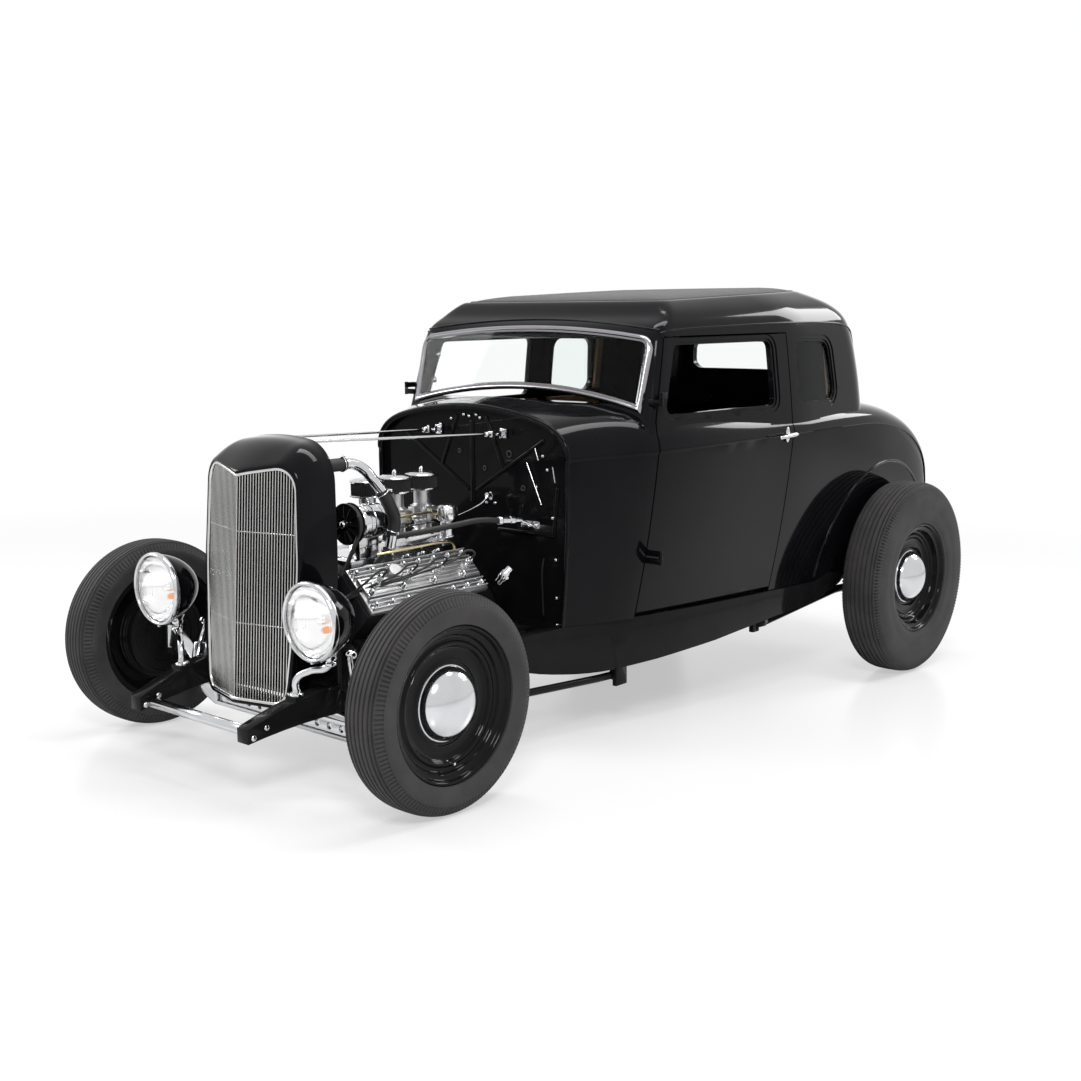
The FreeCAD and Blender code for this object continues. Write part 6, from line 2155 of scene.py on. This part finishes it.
    def controls(self) -> None:
        """Steering wheel, dashboard with plain dials, and the gear lever."""
        smoothed("steering_wheel", RIM_BLACK, "steering_wheel")
        smoothed("dashboard", BODY_BLACK, bevel=0.003)
        plain(("floor_pan", "wheel_wells", "steering_column"), CABIN_BLACK)
        bright, dark = [], []
        for x, size in ((210, 42), (300, 50), (390, 42)):
            bezel = [(-2, size - 6), (4, size - 6), (5, size - 4), (4, size), (-2, size)]
            bright.append(spun(bezel, (x, 1136, 918), AFT, 40))
            dark.append(spun([(-2, 0), (-2, size - 5), (1.5, size - 5), (1.5, 0)], (x, 1136, 918), AFT, 40))
        bright.append(rope([(0, 1450, 440), (0, 1470, 520), (4, 1500, 620), (6, 1512, 690)], 6))
        knob = [(0, 0), (0, 10), (6, 20), (18, 23), (30, 19), (38, 8), (39, 0)]
        dark.append(spun(knob, (6, 1510, 684), (0.02, 0.1, 1), 32))
        fit("dash_rings", bright, CHROME, angle=40)
        fit("dash_dials", dark, RIM_BLACK, angle=40)

    def build(self) -> None:
        """Fit out the cabin."""
        for make in (self.firewall, self.linings, self.seat, self.controls):
            make()


# ---------------------------------------------------------------- stage

@dataclass
class Studio:
    """Pale floor, plain soft light, white surround and the camera."""

    place: Point = (3.4285, -4.15075, 1.2791)
    azimuth: float = radians(41.18)
    down: float = radians(7.47)
    roll: float = radians(1.23)
    lens: float = 47.16

    def camera(self) -> None:
        """Stand the camera."""
        data = bpy.data.cameras.new("camera")
        data.lens, data.sensor_width = self.lens, 36
        view = bpy.data.objects.new("camera", data)
        bpy.context.scene.collection.objects.link(view)
        a, e, r = self.azimuth, self.down, self.roll
        ahead = Vector((-sin(a) * cos(e), cos(a) * cos(e), -sin(e)))
        right = Vector((cos(a), sin(a), 0))
        up = right.cross(ahead)
        right, up = right * cos(r) + up * sin(r), up * cos(r) - right * sin(r)
        view.matrix_world = Matrix.Translation(self.place) @ Matrix((right, up, -ahead)).transposed().to_4x4()
        bpy.context.scene.camera = view

    def floor(self) -> None:
        """Lay the floor."""
        bpy.ops.object.select_all(action="DESELECT")
        bpy.ops.mesh.primitive_circle_add(vertices=96, radius=14, fill_type="NGON")
        floor = bpy.context.object
        floor.name = floor.data.name = "floor"
        graph = Graph("pale_floor")
        graph.set(Base_Color=(0.88, 0.88, 0.88, 1), Roughness=0.22, Specular_IOR_Level=0.35)
        seen = graph.add("ShaderNodeLightPath", {}, {}, "Is Camera Ray")
        far = graph.add("ShaderNodeVectorMath", {"operation": "LENGTH"}, {0: graph.space}, 1).over(4.6, 2.4)
        glow = graph.add("ShaderNodeEmission", {}, {"Color": (1, 1, 1, 1), "Strength": 1})
        mixed = graph.add("ShaderNodeMixShader", {}, {0: seen * (far * 0.5 + 0.5),
            1: Value(graph, graph.shader.outputs[0]), 2: glow})
        output = next(node for node in graph.tree.nodes if node.type == "OUTPUT_MATERIAL")
        graph.feed(output.inputs[0], mixed)
        floor.data.materials.append(graph.owner)

    def lamp(self, name: str, place: Point, size: Pair, power: float) -> None:
        """One soft area lamp that faces the car's middle.

        Args:
            name: Its name.
            place: Where it stands.
            size: Its width and height.
            power: Its power in watts.
        """
        data = bpy.data.lights.new(name, "AREA")
        data.shape, data.size, data.size_y, data.energy = "RECTANGLE", size[0], size[1], power
        lamp = bpy.data.objects.new(name, data)
        bpy.context.scene.collection.objects.link(lamp)
        lamp.location = place
        lamp.rotation_euler = (Vector((0, 0, 0.5)) - Vector(place)).to_track_quat("-Z", "Y").to_euler()

    def surround(self) -> None:
        """White to the eye and in glass and metal, plain grey as light."""
        world = bpy.data.worlds.new("surround")
        bpy.context.scene.world = world
        graph = Graph("surround", world)
        eye, gloss, glass = (graph.add("ShaderNodeLightPath", {}, {}, "Is %s Ray" % kind)
            for kind in ("Camera", "Glossy", "Transmission"))
        level = graph.add("ShaderNodeMapRange", {"clamp": True}, {0: eye + gloss + glass, 3: 0.45, 4: 1})
        graph.set(Color=(1, 1, 1), Strength=level)

    def build(self) -> None:
        """Set the stage."""
        self.camera()
        self.floor()
        self.surround()
        self.lamp("key", (3.6, -4.4, 4.4), (1.6, 1.6), 200)
        self.lamp("fill", (-4.6, -3.2, 3.4), (2, 2), 120)
        self.lamp("top", (0.4, 0.2, 5), (1, 4.4), 160)
        self.lamp("rear", (2.2, 5.2, 3.8), (1.8, 1.8), 120)
        scene = bpy.context.scene
        scene.view_settings.view_transform = "Standard"


def main() -> None:
    """Dress the car, one sub-assembly after another, and set the stage."""
    logging.basicConfig(level=logging.INFO, format="%(message)s", stream=sys.stdout)
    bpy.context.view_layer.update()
    Studio().build()
    for assembly in ASSEMBLIES:
        log.info("--- %s", type(assembly).__name__)
        assembly.build()


COACHWORK = Body()
ASSEMBLIES = (RollingGear(), Chassis(), Grille(), Lamps(), Engine(), COACHWORK, Trim(COACHWORK),
    Cabin(COACHWORK))

if __name__ == "__main__":
    main()
